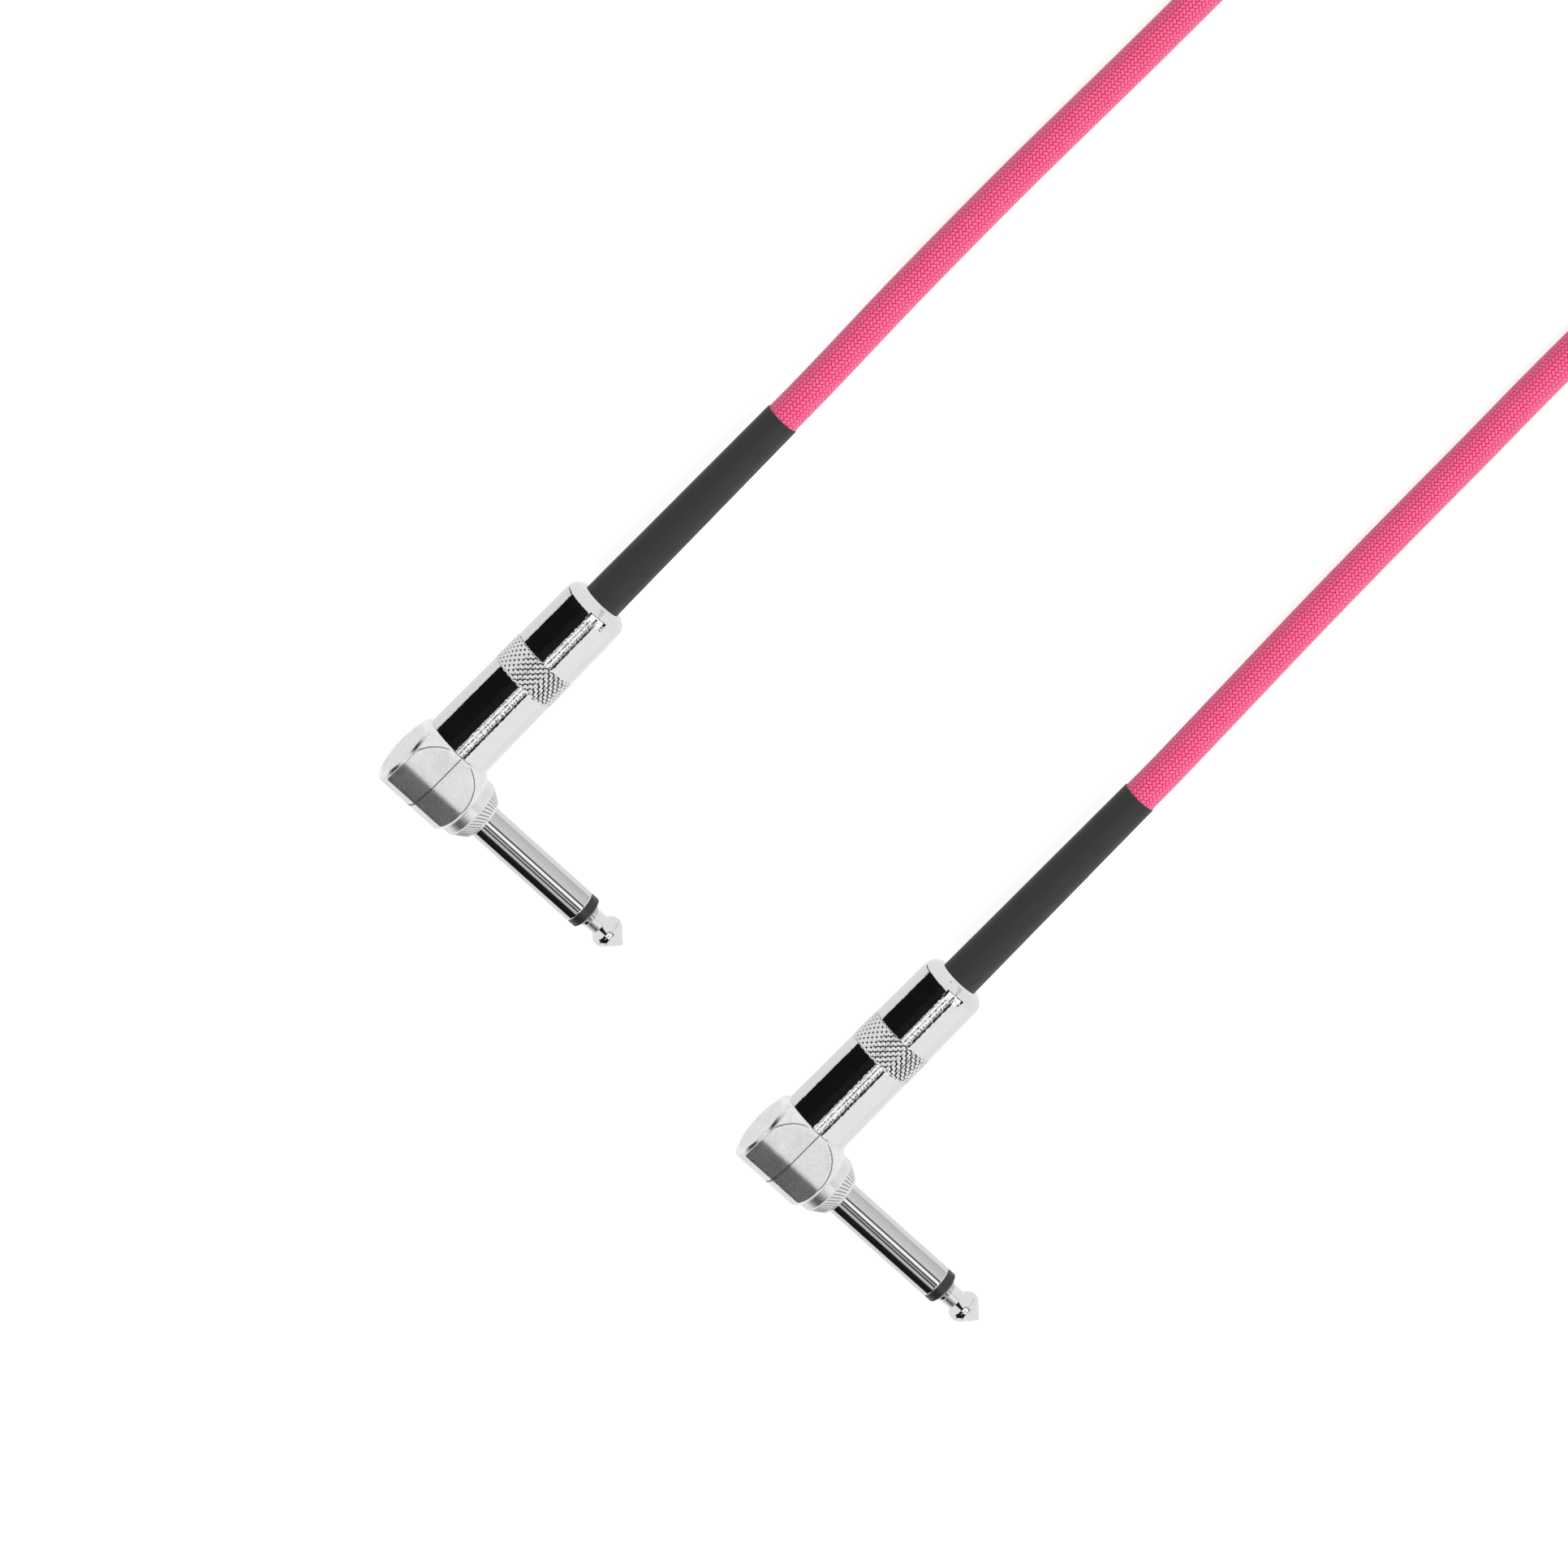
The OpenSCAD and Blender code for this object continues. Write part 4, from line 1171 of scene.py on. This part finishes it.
TIE_T = 1.0
TIE_R = 2.5
TIE_CORNER_STEPS = 8
TIE_EDGE_STEPS = 6
TAIL_LEN = 16.5
TAIL_STEPS = 20
TAIL_NARROWER = 0.6
TAIL_THINNER = 0.96


def rounded_loop(low, high, r):
    """A closed outline in the XZ plane with round corners, anticlockwise from the lower right."""
    left, right, bottom, top = low[0] + r, high[0] - r, low[1] + r, high[1] - r
    outline = []
    for x, z, start in ((right, bottom, -90), (right, top, 0), (left, top, 90), (left, bottom, 180)):
        for i in range(TIE_CORNER_STEPS + 1):
            t = math.radians(start + 90 * i / TIE_CORNER_STEPS)
            outline.append((x + r * math.cos(t), z + r * math.sin(t)))
    return outline


def swept_strap(outline, width, thickness, y, closed=True):
    """A strap with rounded edges, whose middle runs along an outline in the XZ plane."""
    line = np.array(outline)
    if closed:
        tangent = np.roll(line, -1, axis=0) - np.roll(line, 1, axis=0)
    else:
        tangent = np.gradient(line, axis=0)
    tangent /= np.linalg.norm(tangent, axis=1)[:, None]
    normal = np.stack((tangent[:, 1], -tangent[:, 0]), axis=1)
    half_w, half_t = width / 2, thickness / 2
    section = []
    for side, start in ((1, -90), (-1, 90)):
        for i in range(TIE_EDGE_STEPS + 1):
            t = math.radians(start + 180 * i / TIE_EDGE_STEPS)
            section.append((side * (half_w - half_t) + half_t * math.cos(t), half_t * math.sin(t)))
    points = [
        (p[0] + n[0] * v, y + u, p[1] + n[1] * v) for p, n in zip(line, normal) for u, v in section
    ]
    faces = ring_faces(len(line), len(section), closed)
    if not closed:
        faces += end_faces(len(line), len(section))
    return points, faces


def make_tie():
    """Strap round all the turns, with its loose end folded back over the top."""
    low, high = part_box("cord_tie")
    low, high = np.array(low) / MM, np.array(high) / MM
    width, y = high[1] - low[1], (low[1] + high[1]) / 2
    half_t = TIE_T / 2
    top = high[2] - TIE_T
    outline = rounded_loop((low[0] + half_t, half_t), (high[0] - half_t, top - half_t), TIE_R)
    points, faces = swept_strap(outline, width, TIE_T, y)
    tail_from = (low[0] + high[0]) / 2 - TAIL_LEN / 2
    shares = [i / TAIL_STEPS for i in range(TAIL_STEPS + 1)]
    tail = [(tail_from + TAIL_LEN * share, top + half_t - HAIR) for share in shares]
    narrow, thin = width - TAIL_NARROWER, TIE_T * TAIL_THINNER
    tail_points, tail_faces = swept_strap(tail, narrow, thin, y, closed=False)
    faces += [[v + len(points) for v in f] for f in tail_faces]
    piece = closed_mesh("tie", np.vstack((points, tail_points)) * MM, faces, sharp=50)
    finish_piece(piece, "root", "cord_tie", STRAP)
    return piece


TIE = make_tie()

# ---- what stays from the CAD

INNER = {
    "tip_washer": FIBRE, "tip_lug": BRASS, "ground_clamp": BRASS, "liner": CLEAR,
    "screen": COPPER, "dielectric": CORE, "core_wire": COPPER,
    "jacket": plain("jacket_end", (0.62, 0.02, 0.10), (0.95, 0.10, 0.27), 0.6, depth=0.00005),
}
for end in PLUGS:
    for node_name, stock in INNER.items():
        node = frame["nodes"][f"plug_{end}_{node_name}"]
        node.data.materials.clear()
        node.data.materials.append(stock)

# ---- floor, light and world

FLOOR_SIZE = 6.0
FLOOR_AT = -0.00002
FLOOR_TONE = 0.85
FLOOR_GLOW = 0.66


def make_floor():
    """Plain pale floor, white to the camera, with the object's shadow.

    The metal sees the world's own white below the horizon instead.
    """
    half = FLOOR_SIZE / 2
    corners = [(x * half, y * half, FLOOR_AT) for x, y in ((-1, -1), (1, -1), (1, 1), (-1, 1))]
    floor = mesh_object("floor", corners, [(0, 1, 2, 3)])
    t = new_material("floor")
    seen = t.node("ShaderNodeLightPath").outputs["Is Camera Ray"]
    matte = t.node("ShaderNodeBsdfDiffuse", {0: grey(FLOOR_TONE)})
    glow = t.node("ShaderNodeEmission", {0: grey(1), 1: t.times(seen, FLOOR_GLOW)})
    both = t.node("ShaderNodeAddShader", {0: matte.outputs[0], 1: glow.outputs[0]})
    t.node("ShaderNodeOutputMaterial", {0: both.outputs[0]})
    floor.data.materials.append(t.owner)
    floor.visible_glossy = False


# The barrels and the fingers reflect two narrow bands of the studio, which cross near the top. Each
# band is a row of cards: (degrees from straight up at which a card starts, its light, its edge's
# softness if not CARD_EDGE), towards -Y for the barrels and towards +X for the fingers.
BANDS_CROSS = (-0.18, -0.25)
BAND_HALF, BAND_EDGE = 0.05, 0.02
CARD_EDGE = 0.8
BARREL_CARDS = (
    (-180, 0.93), (-110, 0.008), (-40, 0.014), (-12, 1.0), (18, 0.02), (26, 1.06), (90, 1.0),
)
STREAK_FROM, STREAK_TO = -12, 18
STREAK_GRAIN = 17
STREAK_CONTRAST = (0.42, 0.5)
STREAK_LIGHT = 1.3
STREAK_DARK = 0.12
FINGER_CARDS = (
    (-180, 0.9), (-95, 0.012), (-60, 0.02), (-43, 0.62), (-25, 0.03), (-15, 0.95), (-9, 0.5),
    (-6, 0.06), (0, 0.12), (3, 0.9), (6, 1.25), (20, 0.1), (31, 0.79), (70, 0.62, 34),
    (108, 0.93, 2),
)

# The rest of the room: a bright ceiling in a black frame, three black cards, and white. Places are
# parts of a unit direction, and each pair is a soft edge.
CEILING = 1.6
ROOM = 1.0
BLACK = 0.012
DIFFUSE_LIGHT = 0.58
CEILING_END = (0.35, 0.42)
FRAME_AT, FRAME_HALF = 0.46, 0.05
HIGH_FROM, HIGH_WIDTH = (0.22, 0.32), (0.12, 0.2)
BESIDE_END, BESIDE_LOW, BESIDE_WIDTH = (-0.42, -0.34), (0.1, 0.2), (0.4, 0.5)
BELOW_FROM, BELOW_WIDTH = (0.46, 0.5), (0.12, 0.15)
HORIZON = (-0.25, -0.2)

LAMP_ENERGY = 2.0
LAMP_WIDTH = 50
LAMP_ASIDE, LAMP_ABOVE = 0.5, 0.8


def streak(tree, direction, angle, pattern):
    """A mottled card in the barrels' row, which a slight peel in the plating breaks into specks."""
    inputs = {"Vector": direction, "Scale": STREAK_GRAIN, "Detail": 1.0}
    mottle = tree.node("ShaderNodeTexNoise", inputs).outputs["Fac"]
    light = tree.between(mottle, *STREAK_CONTRAST, STREAK_DARK, STREAK_LIGHT)
    middle, half = (STREAK_FROM + STREAK_TO) / 2, (STREAK_TO - STREAK_FROM) / 2
    inside = tree.math("COMPARE", tree.times(angle, 180 / math.pi), middle, half)
    return tree.colours(inside, pattern, light)


def cards(tree, angle, row):
    """A row of cards, read at the angle."""
    stops = [(0.0, row[0][1])]
    for before, (start, light, *given) in zip(row, row[1:]):
        soft = given[0] if given else CARD_EDGE
        stops += [((start - soft + 180) / 360, before[1]), ((start + soft + 180) / 360, light)]
    place = tree.between(angle, -math.pi, math.pi)
    return tree.ramp(place, *[(at, grey(light)) for at, light in stops])


def room(t, x, y, z, from_barrels, from_fingers):
    """How light the room is in a direction, beside the two bands."""
    off_centre = t.math("MAXIMUM", from_barrels, from_fingers)
    light = t.blend(t.under(off_centre, *CEILING_END), ROOM, CEILING)
    light = t.blend(t.math("COMPARE", off_centre, FRAME_AT, FRAME_HALF), light, BLACK)
    high = t.times(t.between(y, *HIGH_FROM), t.under(from_barrels, *HIGH_WIDTH))
    beside = t.times(t.under(x, *BESIDE_END), t.between(z, *BESIDE_LOW))
    beside = t.times(beside, t.under(from_fingers, *BESIDE_WIDTH))
    light = t.blend(t.math("MAXIMUM", beside, high), light, BLACK)
    low = t.times(t.between(y, *BELOW_FROM), t.under(from_barrels, *BELOW_WIDTH))
    return t.blend(t.under(z, *HORIZON), light, t.blend(low, ROOM, BLACK))


def make_world():
    """Studio: plain pale light for diffuse surfaces, and black and white cards for the metal."""
    world = bpy.data.worlds.new("studio")
    bpy.context.scene.world = world
    t = Tree(world)
    direction = t.node("ShaderNodeTexCoord").outputs["Generated"]
    x, y, z = t.node("ShaderNodeSeparateXYZ", {0: direction}).outputs
    from_barrels = t.math("ABSOLUTE", t.minus(x, BANDS_CROSS[0]))
    from_fingers = t.math("ABSOLUTE", t.minus(y, BANDS_CROSS[1]))
    pattern = room(t, x, y, z, from_barrels, from_fingers)
    on_fingers = t.under(from_fingers, BAND_HALF, BAND_HALF + BAND_EDGE)
    on_barrels = t.under(from_barrels, BAND_HALF, BAND_HALF + BAND_EDGE)
    pattern = t.colours(on_fingers, pattern, cards(t, t.math("ARCTAN2", x, z), FINGER_CARDS))
    angle = t.math("ARCTAN2", t.times(y, -1.0), z)
    barrel_row = streak(t, direction, angle, cards(t, angle, BARREL_CARDS))
    pattern = t.colours(on_barrels, pattern, barrel_row)
    path = t.node("ShaderNodeLightPath").outputs
    glossy = t.math("MAXIMUM", path["Is Glossy Ray"], path["Is Transmission Ray"])
    light = t.colours(glossy, grey(DIFFUSE_LIGHT), pattern)
    seen = t.colours(path["Is Camera Ray"], light, grey(1))
    shader = t.node("ShaderNodeBackground", {0: seen, 1: 1.0})
    t.node("ShaderNodeOutputWorld", {0: shader.outputs[0]})
    world.cycles.sampling_method = "NONE"


def make_lamp():
    """One broad soft lamp from the lower right of the picture."""
    data = bpy.data.lights.new("lamp", "SUN")
    data.energy = LAMP_ENERGY
    data.angle = math.radians(LAMP_WIDTH)
    lamp = add_object("lamp", data)
    direction = (LAMP_ASIDE * (RIGHT - UP) + LAMP_ABOVE * VIEW_FROM).normalized()
    lamp.rotation_euler = direction.to_track_quat("Z", "Y").to_euler()
    lamp.visible_glossy = False


make_floor()
make_world()
make_lamp()
bpy.context.scene.view_settings.view_transform = "Standard"
